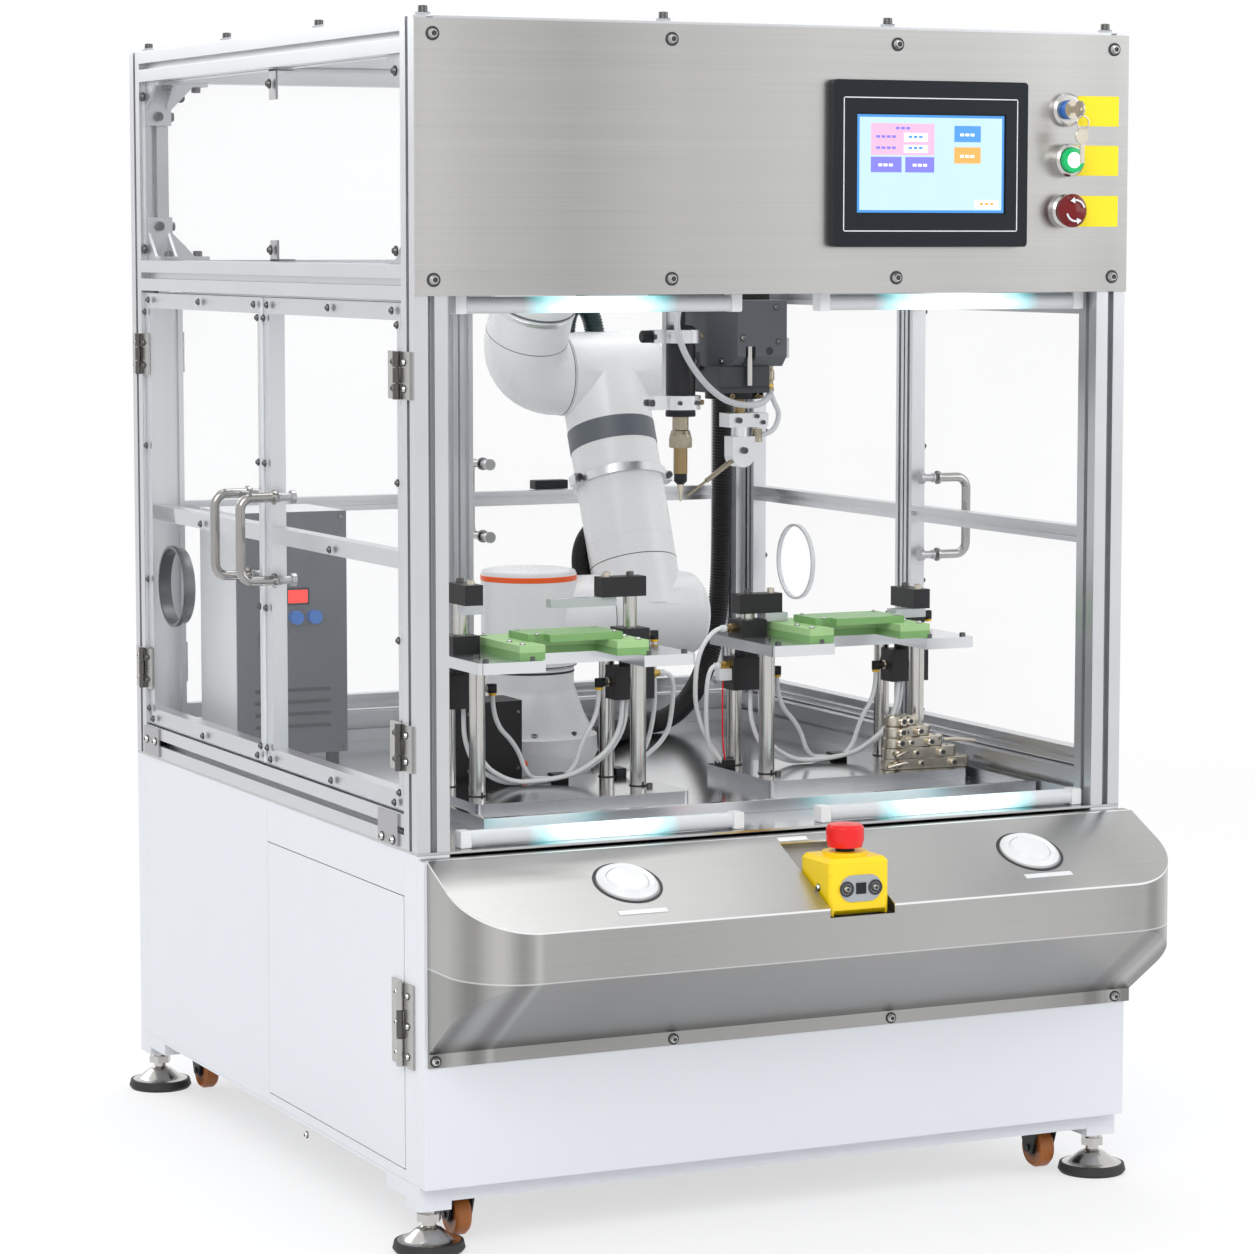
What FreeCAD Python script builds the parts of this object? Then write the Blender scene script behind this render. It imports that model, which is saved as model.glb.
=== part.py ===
import FreeCAD
import Part

import math
import os

# Automatic soldering cell: a white steel cabinet on feet and casters carries a frame of slotted
# aluminium profile with clear doors. Inside, a six axis arm holds a soldering iron and a wire
# feeder over two board fixtures. Millimetres. While it is modelled, X runs along the front from the
# left corner, Y runs to the back and Z rises from the underside of the cabinet. At the end
# everything is moved so that the origin is on the floor under the middle of the whole machine.

Vector = FreeCAD.Vector
X_AXIS = Vector(1, 0, 0)
Y_AXIS = Vector(0, 1, 0)
Z_AXIS = Vector(0, 0, 1)

# Overall sizes
WIDTH = 930.0
DEPTH = 1000.0
CABINET_TOP = 400.0
FRAME_TOP = 1340.0
FLOOR_DROP = 60.0

# Slotted profile
PROFILE = 40.0
SLOT_MOUTH = 8.0
SLOT_LIP = 4.5
SLOT_INSIDE = 18.0
SLOT_DEPTH = 12.0

# Cabinet
SHEET = 2.0
PANEL_SEAM = 1.0
COLUMN = 40.0
SILL_HEIGHT = 19.0
BASE_RAIL_WIDTH = 100.0
FRONT_PANEL_DEPTH = 18.0
SERVICE_DOOR_BOTTOM = 32.0
SERVICE_DOOR_TOP = 348.0
SERVICE_DOOR_BACK = 490.0
SERVICE_DOOR_THICKNESS = 18.0
TABLE_THICKNESS = 3.0
TABLE_TOP = CABINET_TOP + TABLE_THICKNESS

# Rails of the upper frame
MID_RAIL_BOTTOM = 1025.0
FRONT_MID_RAIL_BOTTOM = 1033.0
TOP_PANEL_THICKNESS = 3.0
WINDOW_THICKNESS = 4.0
WINDOW_INSET = 4.0
FIT_GAP = 0.3
GUSSET_LEG = 57.0
GUSSET_WALL = 5.0
GUSSET_WIDTH = 31.0
GUSSET_WEB = 4.0
GUSSET_WEB_REACH = 36.0

# Doors
DOOR_BAR = 20.0
DOOR_GAP = 3.0
PANE_THICKNESS = 4.0
DOOR_MID_RAIL = 721.0
PORT_RADIUS = 50.0
PORT_HEIGHT = 638.0
PORT_FROM_HINGE = 112.0
HANDLE_RADIUS = 6.0
HANDLE_REACH = 45.0
HANDLE_LOW = 677.0
HANDLE_HIGH = 779.0
HANDLE_FROM_EDGE = 45.0
HANDLE_BEND = 15.0
HINGE_HEIGHT = 54.0
HINGE_LEVELS = (493.0, 914.0)
HINGE_LEAF = 30.0
HINGE_THICKNESS = 3.0
KNUCKLE_RADIUS = 5.0
PIN_RADIUS = 2.0
RUNNING_GAP = 0.08
HINGE_SLIT = 0.5
GROOVE_WIDTH = 6.0
GROOVE_DEPTH = 5.0
HANDLE_FOOT = (9.0, 3.0)
SERVICE_HINGE_BOTTOM = 153.0
SERVICE_HINGE_HEIGHT = 97.0

# Fascia and its controls
FASCIA_THICKNESS = 3.0
FASCIA_BOTTOM = 1030.0
FASCIA_TOP = 1337.0
SCREEN_WIDTH = 262.0
SCREEN_FROM_RIGHT = 148.0
SCREEN_RIGHT = WIDTH - SCREEN_FROM_RIGHT
SCREEN_LEFT = SCREEN_RIGHT - SCREEN_WIDTH
SCREEN_BOTTOM = 1084.0
SCREEN_TOP = 1278.0
SCREEN_PROUD = 12.0
SCREEN_BODY_DEPTH = 34.0
SCREEN_BODY_INSET = 12.0
SCREEN_CORNER = 5.0
GLASS_FRAME = (30.0, 38.0, 1.5)
SWITCH_FROM_RIGHT = 89.0
SWITCH_X = WIDTH - SWITCH_FROM_RIGHT
SWITCH_LEVELS = (1247.0, 1187.0, 1127.0)
SWITCH_RADIUS = 20.0
SWITCH_PROUD = 16.0
SWITCH_STEM = 11.0
SWITCH_BACK = 30.0
KEY_RADIUS = 11.0
RUN_CAP_RADIUS = 15.0
STOP_KNOB_RADIUS = 19.0
BUTTON_TRAVEL = 4.0

# Console
CONSOLE_LEFT = 4.0
CONSOLE_OVERHANG = 6.0
CONSOLE_RIGHT = WIDTH + CONSOLE_OVERHANG
CONSOLE_REACH = 160.0
CONSOLE_TOP = 397.0
CONSOLE_FOLD = 20.0
CONSOLE_EDGE = 333.0
CONSOLE_LOWER_EDGE = 275.0
CONSOLE_FLANGE_TOP = 176.0
CONSOLE_FLANGE_BOTTOM = 160.0
CONSOLE_CORNER = 82.0
START_FROM_SIDE = (221.0, 179.0)
START_X = (START_FROM_SIDE[0], WIDTH - START_FROM_SIDE[1])
START_ALONG_SLOPE = 72.0
START_HOLE = 39.0
START_RING = 36.0
START_CAP = 25.0
START_RING_STEPS = (14.0, 6.0, 3.0, 7.0, 5.0)
STOP_SHIFT = 20.0
STOP_NOTCH_WIDTH = 84.0
STOP_NOTCH_LEFT = WIDTH / 2 + STOP_SHIFT - STOP_NOTCH_WIDTH / 2
STOP_NOTCH = (STOP_NOTCH_LEFT, STOP_NOTCH_LEFT + STOP_NOTCH_WIDTH)
STOP_NOTCH_BACK = 33.0
STOP_BOX_MARGIN = 3.0
STOP_BOX_TOP = 391.0
STOP_BOX_BOTTOM = 322.0
STOP_BOX_FRONT = 152.0
STOP_BOX_DEPTH = 72.0
STOP_BUTTON_RADIUS = 22.0
STOP_COLLAR = 4.0
STOP_WELL = 24.0
STOP_LIP = 30.0

# Light bars
BAR_RADIUS = 10.0
BAR_LENGTH = 362.0
BAR_CAP = 14.0
BAR_DROP = 4.0
BAR_SEAT = 12.0
BAR_FROM_SIDE = (58.0, 46.0)
BAR_LEFTS = (BAR_FROM_SIDE[0], WIDTH - BAR_FROM_SIDE[1] - BAR_LENGTH)
BAR_UPPER_Y = 30.0
BAR_LOWER_Y = 21.0

# Fixtures
FIXTURE_FROM_SIDE = (173.0, 345.0)
FIXTURE_LEFTS = (FIXTURE_FROM_SIDE[0], WIDTH - FIXTURE_FROM_SIDE[1])
FIXTURE_FRONTS = (230.0, 260.0)
BASE_PLATE = (284.0, 186.0, 15.0)
TOP_PLATE = (290.0, 186.0, 14.0)
TOP_PLATE_SHIFT = 6.0
TOP_PLATE_LEVEL = 587.0
PLATE_CORNER = 8.0
POST_RADIUS = 10.0
POST_X = (29.0, 246.0)
POST_Y = (70.0, 162.0)
NOTCH_X = (86.0, 218.0)
NOTCH_DEPTH = 80.0
LOCATING_MARGIN = (134.0, 44.0)
LOCATING_FRAME = (LOCATING_MARGIN[0], WIDTH - LOCATING_MARGIN[1], 122.0, 480.0)
LOCATING_BAR = (8.0, 15.0)
CARRIER_X = (57.0, 230.0)
CARRIER_FRONT = 12.0
CARRIER_DEPTH = 144.0
CARRIER_SLOT_X = (91.0, 187.0)
CARRIER_SLOT_DEPTH = 66.0
CARRIER_LAYER = 9.0
BRIDGE_X = (86.0, 206.0)
BRIDGE_Y = (36.0, 112.0)
BRIDGE_RELIEF = (22.0, 16.0)
CLAMP_X = (29.0, 260.0)
CLAMP_Y = 130.0
CLAMP_FOOT = (36.0, 40.0, 22.0)
CLAMP_BODY = (54.0, 30.0, 42.0)
CLAMP_BODY_DROP = 12.0
CLAMP_ROD_RADIUS = 9.0
CLAMP_STROKE = 32.0
CLAMP_ROD_KEPT = 5.0
CLAMP_WELL_FLOOR = 4.0
CLAMP_HEAD = (-17.0, 44.0, 24.0, 25.0)
CLAMP_PAD_GAP = 0.5
CLAMP_PAD_HEIGHT = 11.0

LEVER = (122.0, 24.0, 14.0)
LEVER_COUNT = 5
LEVER_TURN = 4.0
LEVER_SPOT = (238.0, 32.0)
LEVER_EYE = 4.0
LEVER_STEP = 9.0

# Controllers
CONTROLLER_SPOT = (66.0, 75.0)
CONTROLLER_SIZE = (154.0, 145.0, 321.0)
CONTROLLER_FACE = 4.0
CONTROLLER_FOOT = (9.0, 12.0)
CONTROLLER_FOOT_INSET = 16.0
KNOB_X = (80.0, 106.0)
KNOB_LEVEL = 194.0
KNOB_SIZE = (9.0, 12.0)
VALVE_SPOT = (226.0, 440.0)
VALVE_SIZE = (99.0, 65.0, 111.0)
VALVE_CORNER = 5.0
VALVE_LID = (10.0, 46.0, 12.0, 60.0, 8.0)
POWER_SPOT = (110.0, 250.0)
POWER_SIZE = (400.0, 310.0, 271.0)
INLET_SPOT = (180.0, 90.0)
INLET_SIZE = (26.0, 17.0, 8.0)
INLET_MOUTH = (14.0, 10.0, 2.0)

# Arm
ARM_FROM_RIGHT = 524.0
ARM_X = WIDTH - ARM_FROM_RIGHT
ARM_Y = 605.0
ARM_FOOT_RADIUS = 90.0
COLUMN_RADIUS = 62.5
COLUMN_BOTTOM = 538.0
COLUMN_TOP = 666.0
SHOULDER_Z = 598.0
BARREL_RADIUS = 56.0
LINK_RADIUS = 58.0
BARREL_ROUND = 24.0
UPPER_ARM_LENGTH = 340.0
UPPER_ARM_LEAN = 22.0
SEAM_CLEAR = 41.5
ELBOW_SEAM = ARM_X + COLUMN_RADIUS + SEAM_CLEAR
UPPER_ARM_X = ELBOW_SEAM + 60.0
BARREL_END = ELBOW_SEAM + 143.0
BARREL_STEP = 3.0
COLLAR_ALONG = 182.0
COLLAR_HEIGHT = 12.0
COLLAR_WALL = 5.0
FOREARM_X = ELBOW_SEAM - 63.0
FOREARM_RADIUS = 55.0
FOREARM_LENGTH = 300.0
FOREARM_LEAN = -30.0
FOREARM_BEND = 58.0
FOREARM_WIDE_RUN = 120.0
FOREARM_TAPER = 30.0
FOREARM_STEP = 4.0
WRIST_RADIUS = 42.0
WRIST_BEND = 44.0
WRIST_REACH = 130.0
HAND_REACH = 118.0
HAND_DROP = 78.0
JOINT_GAP = 0.5

# Tool carried by the arm
FLANGE_RADIUS = 31.0
FLANGE_THICKNESS = 10.0
HANGER_HALF = 26.0
HANGER_FRONT = 10.0
HANGER_BACK = 20.0
TOOL_PLATE_TOP = 1023.0
TOOL_PLATE_THICKNESS = 8.0
TOOL_PLATE_FRONT = 22.0
IRON_X = FOREARM_X + WRIST_REACH - 24.0
IRON_Y = ARM_Y - 150.0
IRON_TIP = 758.0
IRON_HANDLE_RADIUS = 19.0
IRON_HANDLE = (109.0, 222.0)
IRON_SHANK = ((0.0, 0.0), (1.0, 0.0), (4.0, 14.0), (4.5, 22.0), (8.5, 26.0), (8.5, 36.0),
              (9.0, 36.0), (9.0, 69.0), (14.0, 69.0), (14.0, 84.0), (12.0, 91.0),
              (10.5, 92.0), (10.5, 109.0))
IRON_CORD_EXIT = (6.0, 24.0)
IRON_CLAMPS = ((876.0, 894.0), (961.0, 978.0))
IRON_EYE_GAP = 0.05
IRON_LUG_WALL = 7.0
IRON_BAR = (42.0, 24.0, 10.0)
SPINE_HALF = 8.0
SPINE_DEPTH = 12.0
GUIDE_X = IRON_X + 85.0
GUIDE_BLOCK = (32.0, 24.0, 40.0)
GUIDE_TOP = 840.0
GUIDE_COLUMN = 11.0
GRIP_TOP = 30.0
GRIP_SPAN = (22.0, 34.0)
GRIP_SIZE = (30.0, 18.0)
FEEDER_X = (GUIDE_X - 40.0, GUIDE_X + 54.0)
FEEDER_Y = (IRON_Y - 27.0, IRON_Y + 81.0)
FEEDER_Z = (930.0, 1015.0)
FEEDER_CORNER = (23.0, 46.0)
FEEDER_CHIN = 14.0
FEEDER_SLOT = (5.0, 9.0, 16.0, 26.0)
FEEDER_MOTOR = (37.0, 34.0, 10.0, 84.0, 34.0)
FEEDER_RIM = (36.0, 8.0, 47.0)
FEEDER_STEM = 7.0
FEEDER_ROD = (4.0, 2.0, 4.0, 24.0)
FEEDER_PORT = (14.0, 20.0, 44.0, 10.0, 36.0)
NOZZLE_RADIUS = 3.2
NOZZLE_TIP_RADIUS = 1.8
NOZZLE_THICK_SHARE = 0.62
NOZZLE_END = (7.0, 5.0)

# Conduit and air tubes
CONDUIT_RADIUS = 15.0
CONDUIT_LANE = (36.0, 26.0)
CONDUIT_LEVELS = (700.0, 560.0, 470.0)
AIR_TUBE_RADIUS = 3.0
AIR_TUBE_INSET = 4.0
AIR_TUBE_LANE = 10.0

# Feet and casters
FOOT_INSET = 20.0
FOOT_RADIUS = 42.0
STEM_RADIUS = 8.0
FOOT_TRAVEL = 15.0
BRACKET_DROP = 10.0
CASTER_INSET = (72.0, 62.0)
WHEEL_RADIUS = 25.0
WHEEL_WIDTH = 22.0
WHEEL_CLEAR = 3.0
AXLE_RADIUS = 4.0
CASTER_PLATE = (48.0, 60.0, 3.0)
CHEEK_GAP = 1.5
CHEEK_WALL = 2.5
CHEEK_TOP = 22.0
CHEEK_FOOT = (9.0, 6.0)
HUB_RADIUS = 9.0
FOOT_PAD = 12.0
FOOT_NUT = (15.0, 9.0)


def box(x0, x1, y0, y1, z0, z1):
    """A block between two corners, given in any order along each axis."""
    low = Vector(min(x0, x1), min(y0, y1), min(z0, z1))
    return Part.makeBox(abs(x1 - x0), abs(y1 - y0), abs(z1 - z0), low)


def cylinder(start, direction, length, radius):
    return Part.makeCylinder(radius, length, start, direction)


def ring(start, direction, length, outer, inner):
    """A tube wall, with its bore running past both ends before it is cut."""
    bore = cylinder(start - direction * 1.0, direction, length + 2.0, inner)
    return cylinder(start, direction, length, outer).cut(bore)


def prism(points, direction):
    """A flat closed outline pushed along a vector."""
    outline = Part.makePolygon(points + [points[0]])
    return Part.Face(outline).extrude(direction)


def turned(profile, foot, axis=Z_AXIS):
    """A solid of revolution from (radius, height) pairs, standing on foot along axis."""
    points = [Vector(r, 0, h) for r, h in profile]
    face = Part.Face(Part.makePolygon(points + [points[0]]))
    solid = face.revolve(Vector(0, 0, 0), Z_AXIS, 360)
    solid.Placement = FreeCAD.Placement(foot, FreeCAD.Rotation(Z_AXIS, axis))
    return solid


def fillet_edges(shape, radius, keep):
    """Rounds the edges for which keep(edge) is true."""
    chosen = [e for e in shape.Edges if keep(e)]
    return shape.makeFillet(radius, chosen)


def upright(edge):
    """True for a straight edge that runs along Z."""
    if len(edge.Vertexes) != 2:
        return False
    run = edge.Vertexes[1].Point - edge.Vertexes[0].Point
    return abs(run.x) < 1e-6 and abs(run.y) < 1e-6


def slab(x0, x1, y0, y1, z0, z1, corner):
    """A plate with rounded upright corners."""
    return fillet_edges(box(x0, x1, y0, y1, z0, z1), corner, upright)


def corner_radius(before, corner, after):
    """The largest tangent arc that two runs of a route allow."""
    run_in = corner - before
    run_out = after - corner
    turn = run_in.getAngle(run_out)
    return 0.45 * min(run_in.Length, run_out.Length) / math.tan(turn / 2)


def route_wire(points, radius=None):
    """Straight runs joined by tangent arcs. Without a radius each arc is as large as fits."""
    edges = []
    start = points[0]
    for i in range(1, len(points) - 1):
        corner = points[i]
        inward = (corner - points[i - 1]).normalize()
        outward = (points[i + 1] - corner).normalize()
        turn = inward.getAngle(outward)
        bend = radius if radius else corner_radius(points[i - 1], corner, points[i + 1])
        setback = bend * math.tan(turn / 2)
        first = corner - inward * setback
        last = corner + outward * setback
        to_centre = (outward - inward).normalize()
        middle = corner + to_centre * (bend / math.cos(turn / 2) - bend)
        if (first - start).Length > 1e-6:
            edges.append(Part.LineSegment(start, first).toShape())
        edges.append(Part.Arc(first, middle, last).toShape())
        start = last
    if (points[-1] - start).Length > 1e-6:
        edges.append(Part.LineSegment(start, points[-1]).toShape())
    return Part.Wire(edges)


def pipe(points, thickness, radius=None):
    """A round bar or tube along a route."""
    path = route_wire(points, radius)
    heading = (points[1] - points[0]).normalize()
    section = Part.Wire(Part.makeCircle(thickness, points[0], heading))
    solid = path.makePipeShell([section], True, False)
    return solid


def route_radii(points):
    """The arc radii of a route, for the printed record of its bends."""
    found = []
    for before, corner, after in zip(points, points[1:], points[2:]):
        found.append(round(corner_radius(before, corner, after), 1))
    return found


def profile_section():
    """Outline of the slotted profile: one side, turned four times about the middle."""
    half = PROFILE / 2
    mouth = SLOT_MOUTH / 2
    inside = SLOT_INSIDE / 2
    lip = half - SLOT_LIP
    floor = half - SLOT_DEPTH
    side = [(half, mouth), (lip, mouth), (lip, inside), (floor, mouth)]
    side += [(y, -z) for y, z in reversed(side)]
    points = []
    for quarter in range(4):
        turn = math.radians(-90 * quarter)
        for a, b in [(half, half)] + side:
            u = a * math.cos(turn) - b * math.sin(turn)
            v = a * math.sin(turn) + b * math.cos(turn)
            points.append((u, v))
    return points


SECTION = profile_section()


def slotted(start, direction, length):
    """One length of slotted profile, centred on the line from start."""
    points = []
    for u, v in SECTION:
        if direction == X_AXIS:
            points.append(start + Vector(0, u, v))
        elif direction == Y_AXIS:
            points.append(start + Vector(u, 0, v))
        else:
            points.append(start + Vector(u, v, 0))
    return prism(points, direction * length)


# Cabinet and what it stands on

HALF_PROFILE = PROFILE / 2
INNER_FRONT = PROFILE
INNER_BACK = DEPTH - PROFILE
INNER_LEFT = PROFILE
INNER_RIGHT = WIDTH - PROFILE
CORNERS = (
    ("front_left", 0.0, 0.0, 1, 1),
    ("front_right", WIDTH, 0.0, -1, 1),
    ("back_left", 0.0, DEPTH, 1, -1),
    ("back_right", WIDTH, DEPTH, -1, -1),
)


def cabinet_shell():
    """Corner columns and the sheet panels hung between them, each its own piece."""
    pieces = []
    for _, x, y, sx, sy in CORNERS:
        pieces.append(box(x, x + sx * COLUMN, y, y + sy * COLUMN, SILL_HEIGHT, CABINET_TOP))
    front_top = CONSOLE_TOP - SHEET
    front = box(0, WIDTH, -FRONT_PANEL_DEPTH, 0, SILL_HEIGHT, front_top)
    pieces.append(front)
    low = SERVICE_DOOR_BOTTOM
    high = SERVICE_DOOR_TOP
    front_edge = COLUMN
    back_edge = DEPTH - COLUMN
    split = SERVICE_DOOR_BACK + PANEL_SEAM
    pieces.append(box(0, SHEET, split, back_edge, SILL_HEIGHT, CABINET_TOP))
    pieces.append(box(0, SHEET, front_edge, split - PANEL_SEAM / 2, high + PANEL_SEAM, CABINET_TOP))
    pieces.append(box(0, SHEET, front_edge, split - PANEL_SEAM / 2, SILL_HEIGHT, low - PANEL_SEAM))
    pieces.append(box(WIDTH - SHEET, WIDTH, front_edge, back_edge, SILL_HEIGHT, CABINET_TOP))
    pieces.append(box(COLUMN, WIDTH - COLUMN, DEPTH - SHEET, DEPTH, SILL_HEIGHT, CABINET_TOP))
    return pieces


def foot_points():
    for name, x, y, sx, sy in CORNERS:
        yield name, Vector(x + sx * FOOT_INSET, y + sy * FOOT_INSET, 0)


def caster_points():
    for name, x, y, sx, sy in CORNERS:
        yield name, Vector(x + sx * CASTER_INSET[0], y + sy * CASTER_INSET[1], 0), sx


def cabinet_base():
    """The welded bottom frame, its tray, and the corner blocks that the feet screw into."""
    rails = []
    block = 2 * FOOT_INSET
    for y in (0.0, DEPTH - BASE_RAIL_WIDTH):
        rail = box(0, WIDTH, y, y + BASE_RAIL_WIDTH, 0, SILL_HEIGHT)
        for _, point in foot_points():
            recess = box(point.x - block / 2, point.x + block / 2,
                         point.y - block / 2, point.y + block / 2, 0, SILL_HEIGHT)
            rail = rail.cut(recess)
        rails.append(rail)
    tray = box(0, WIDTH, BASE_RAIL_WIDTH, DEPTH - BASE_RAIL_WIDTH,
               SILL_HEIGHT - 2 * SHEET, SILL_HEIGHT)
    blocks = []
    for _, point in foot_points():
        body = box(point.x - block / 2, point.x + block / 2,
                   point.y - block / 2, point.y + block / 2, -BRACKET_DROP, SILL_HEIGHT)
        depth = SILL_HEIGHT + BRACKET_DROP - SHEET
        bore = cylinder(point - Z_AXIS * BRACKET_DROP, Z_AXIS, depth, STEM_RADIUS + RUNNING_GAP)
        blocks.append(body.cut(bore))
    return rails + [tray] + blocks


def levelling_foot(point):
    """Rubber pad, steel cone, lock nut and threaded stem, turned about one axis."""
    pad = FOOT_PAD
    nut_low = FLOOR_DROP - BRACKET_DROP - FOOT_TRAVEL
    profile = [
        (0, 0), (FOOT_RADIUS - 3, 0), (FOOT_RADIUS, 4), (FOOT_RADIUS - 2, pad),
        (FOOT_RADIUS - 12, pad + 2), (15, pad + 14), (10, pad + 16), (STEM_RADIUS, pad + 18),
        (STEM_RADIUS, FLOOR_DROP + SILL_HEIGHT - 2 * SHEET),
        (0, FLOOR_DROP + SILL_HEIGHT - 2 * SHEET),
    ]
    base = Vector(point.x, point.y, -FLOOR_DROP)
    body = turned(profile, base)
    across, nut_height = FOOT_NUT
    nut = []
    for k in range(6):
        angle = math.radians(60 * k)
        nut.append(base + Vector(across * math.cos(angle), across * math.sin(angle), nut_low))
    return body.fuse(prism(nut, Z_AXIS * nut_height)).removeSplitter()


WHEEL_Z = -FLOOR_DROP + WHEEL_CLEAR + WHEEL_RADIUS


def caster_fork(point):
    """Top plate, two cheeks and the axle of a fixed caster."""
    cheek = WHEEL_WIDTH / 2 + CHEEK_GAP
    wide, deep, thick = CASTER_PLATE
    shape = box(point.x - wide / 2, point.x + wide / 2, point.y - deep / 2, point.y + deep / 2,
                -thick, 0)
    foot, below = CHEEK_FOOT
    tip = WHEEL_Z - below
    for side in (-1, 1):
        x0 = point.x + side * cheek
        outline = [
            Vector(x0, point.y - CHEEK_TOP, -thick), Vector(x0, point.y + CHEEK_TOP, -thick),
            Vector(x0, point.y + foot, tip), Vector(x0, point.y - foot, tip),
        ]
        shape = shape.fuse(prism(outline, X_AXIS * (side * CHEEK_WALL)))
    reach = cheek + CHEEK_WALL + 2.0
    axle = cylinder(Vector(point.x - reach, point.y, WHEEL_Z), X_AXIS, 2 * reach, AXLE_RADIUS)
    return shape.fuse(axle).removeSplitter()


def caster_wheel(point):
    half = WHEEL_WIDTH / 2
    bore = AXLE_RADIUS + RUNNING_GAP
    hub = HUB_RADIUS
    profile = [
        (bore, -half), (hub, -half), (hub, -half + 2), (WHEEL_RADIUS - 6, -half + 2),
        (WHEEL_RADIUS - 3, -half + 1), (WHEEL_RADIUS, -half + 5), (WHEEL_RADIUS, half - 5),
        (WHEEL_RADIUS - 3, half - 1), (WHEEL_RADIUS - 6, half - 2), (hub, half - 2), (hub, half),
        (bore, half),
    ]
    return turned(profile, Vector(point.x, point.y, WHEEL_Z), X_AXIS)


def table_top():
    return [box(0, WIDTH, 0, DEPTH, CABINET_TOP, TABLE_TOP)]


# Upper frame

def frame_profiles():
    """Four posts and the rails between them."""
    posts = []
    for _, x, y, sx, sy in CORNERS:
        foot = Vector(x + sx * HALF_PROFILE, y + sy * HALF_PROFILE, TABLE_TOP)
        posts.append(slotted(foot, Z_AXIS, FRAME_TOP - TABLE_TOP))
    rails = []
    side_run = DEPTH - 2 * PROFILE
    cross_run = WIDTH - 2 * PROFILE
    levels = [TABLE_TOP + HALF_PROFILE, MID_RAIL_BOTTOM + HALF_PROFILE, FRAME_TOP - HALF_PROFILE]
    for z in levels:
        for x in (HALF_PROFILE, WIDTH - HALF_PROFILE):
            rails.append(slotted(Vector(x, PROFILE, z), Y_AXIS, side_run))
        rails.append(slotted(Vector(PROFILE, DEPTH - HALF_PROFILE, z), X_AXIS, cross_run))
    for z in (FRONT_MID_RAIL_BOTTOM + HALF_PROFILE, FRAME_TOP - HALF_PROFILE):
        rails.append(slotted(Vector(PROFILE, HALF_PROFILE, z), X_AXIS, cross_run))
    return posts + rails


def window_panels():
    """Clear panes set between the bars above the doors, and the clear sheet that closes the top."""
    low = MID_RAIL_BOTTOM + PROFILE
    high = FRAME_TOP - PROFILE - FIT_GAP
    front = INNER_FRONT + FIT_GAP
    back = INNER_BACK - FIT_GAP
    inset = WINDOW_INSET
    thick = WINDOW_THICKNESS
    panes = [
        box(inset, inset + thick, front, back, low, high),
        box(WIDTH - inset - thick, WIDTH - inset, front, back, low, high),
        box(INNER_LEFT + FIT_GAP, INNER_RIGHT - FIT_GAP, DEPTH - inset - thick, DEPTH - inset,
            low, high),
        box(0, WIDTH, 0, DEPTH, FRAME_TOP, FRAME_TOP + TOP_PANEL_THICKNESS),
    ]
    return panes


def gusset(corner, along, up, across):
    """A cast angle bracket: two square flanges with a sloping web down each side."""
    leg = GUSSET_LEG
    wall = GUSSET_WALL
    side = across * GUSSET_WIDTH
    start = corner - side * 0.5
    foot = prism([start, start + along * leg, start + along * leg + up * wall,
                  start + up * wall], side)
    back = prism([start, start + up * leg, start + up * leg + along * wall,
                  start + along * wall], side)
    reach = GUSSET_WEB_REACH
    webs = []
    for inner in (start, start + side - across * GUSSET_WEB):
        webs.append(prism([inner, inner + along * reach, inner + along * reach + up * wall,
                           inner + up * reach + along * wall, inner + up * reach],
                          across * GUSSET_WEB))
    return foot.fuse([back] + webs).removeSplitter()


def corner_brackets():
    """Angle brackets in the corners of the side and back windows, inside the panes."""
    lane = WINDOW_INSET + WINDOW_THICKNESS + FIT_GAP + GUSSET_WIDTH / 2
    levels = ((MID_RAIL_BOTTOM + PROFILE, Z_AXIS), (FRAME_TOP - PROFILE, Z_AXIS * -1))
    pieces = []
    for z, up in levels:
        for x, inward in ((lane, X_AXIS), (WIDTH - lane, X_AXIS * -1)):
            for y, along in ((INNER_FRONT, Y_AXIS), (INNER_BACK, Y_AXIS * -1)):
                pieces.append(gusset(Vector(x, y, z), along, up, inward))
        for x, along in ((INNER_LEFT, X_AXIS), (INNER_RIGHT, X_AXIS * -1)):
            pieces.append(gusset(Vector(x, DEPTH - lane, z), along, up, Y_AXIS * -1))
    return pieces


# Doors

SIDE_LEAF = (DEPTH - 2 * PROFILE) / 2 - DOOR_GAP / 2
BACK_LEAF = (WIDTH - 2 * PROFILE) / 2 - DOOR_GAP / 2
LEAF_BOTTOM = TABLE_TOP + PROFILE + DOOR_GAP
LEAF_TOP = MID_RAIL_BOTTOM - DOOR_GAP
PIN_U = 1.0
PIN_V = -KNUCKLE_RADIUS


def hinge_fixed(bottom, height):
    """The half of a hinge on the post: leaf, middle knuckle and pin, hinge line at u, v."""
    third = height / 3
    leaf = box(-HINGE_LEAF - PIN_U, -PIN_U, -HINGE_THICKNESS, 0, bottom, bottom + height)
    core = Vector(PIN_U, PIN_V, bottom)
    slit = HINGE_SLIT
    knuckle = cylinder(core + Z_AXIS * (third + slit), Z_AXIS, third - 2 * slit, KNUCKLE_RADIUS)
    neck = box(-PIN_U - 2, PIN_U, -HINGE_THICKNESS - 1, 0, bottom + third + slit,
               bottom + 2 * third - slit)
    pin = cylinder(core, Z_AXIS, height, PIN_RADIUS)
    notch_low = box(-PIN_U - 4, 2, -HINGE_THICKNESS - 1, 1, bottom - 1, bottom + third + slit)
    notch_high = box(-PIN_U - 4, 2, -HINGE_THICKNESS - 1, 1, bottom + 2 * third - slit,
                     bottom + height + 1)
    leaf = leaf.cut(notch_low).cut(notch_high)
    return leaf.fuse([knuckle, neck, pin]).removeSplitter()


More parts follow.
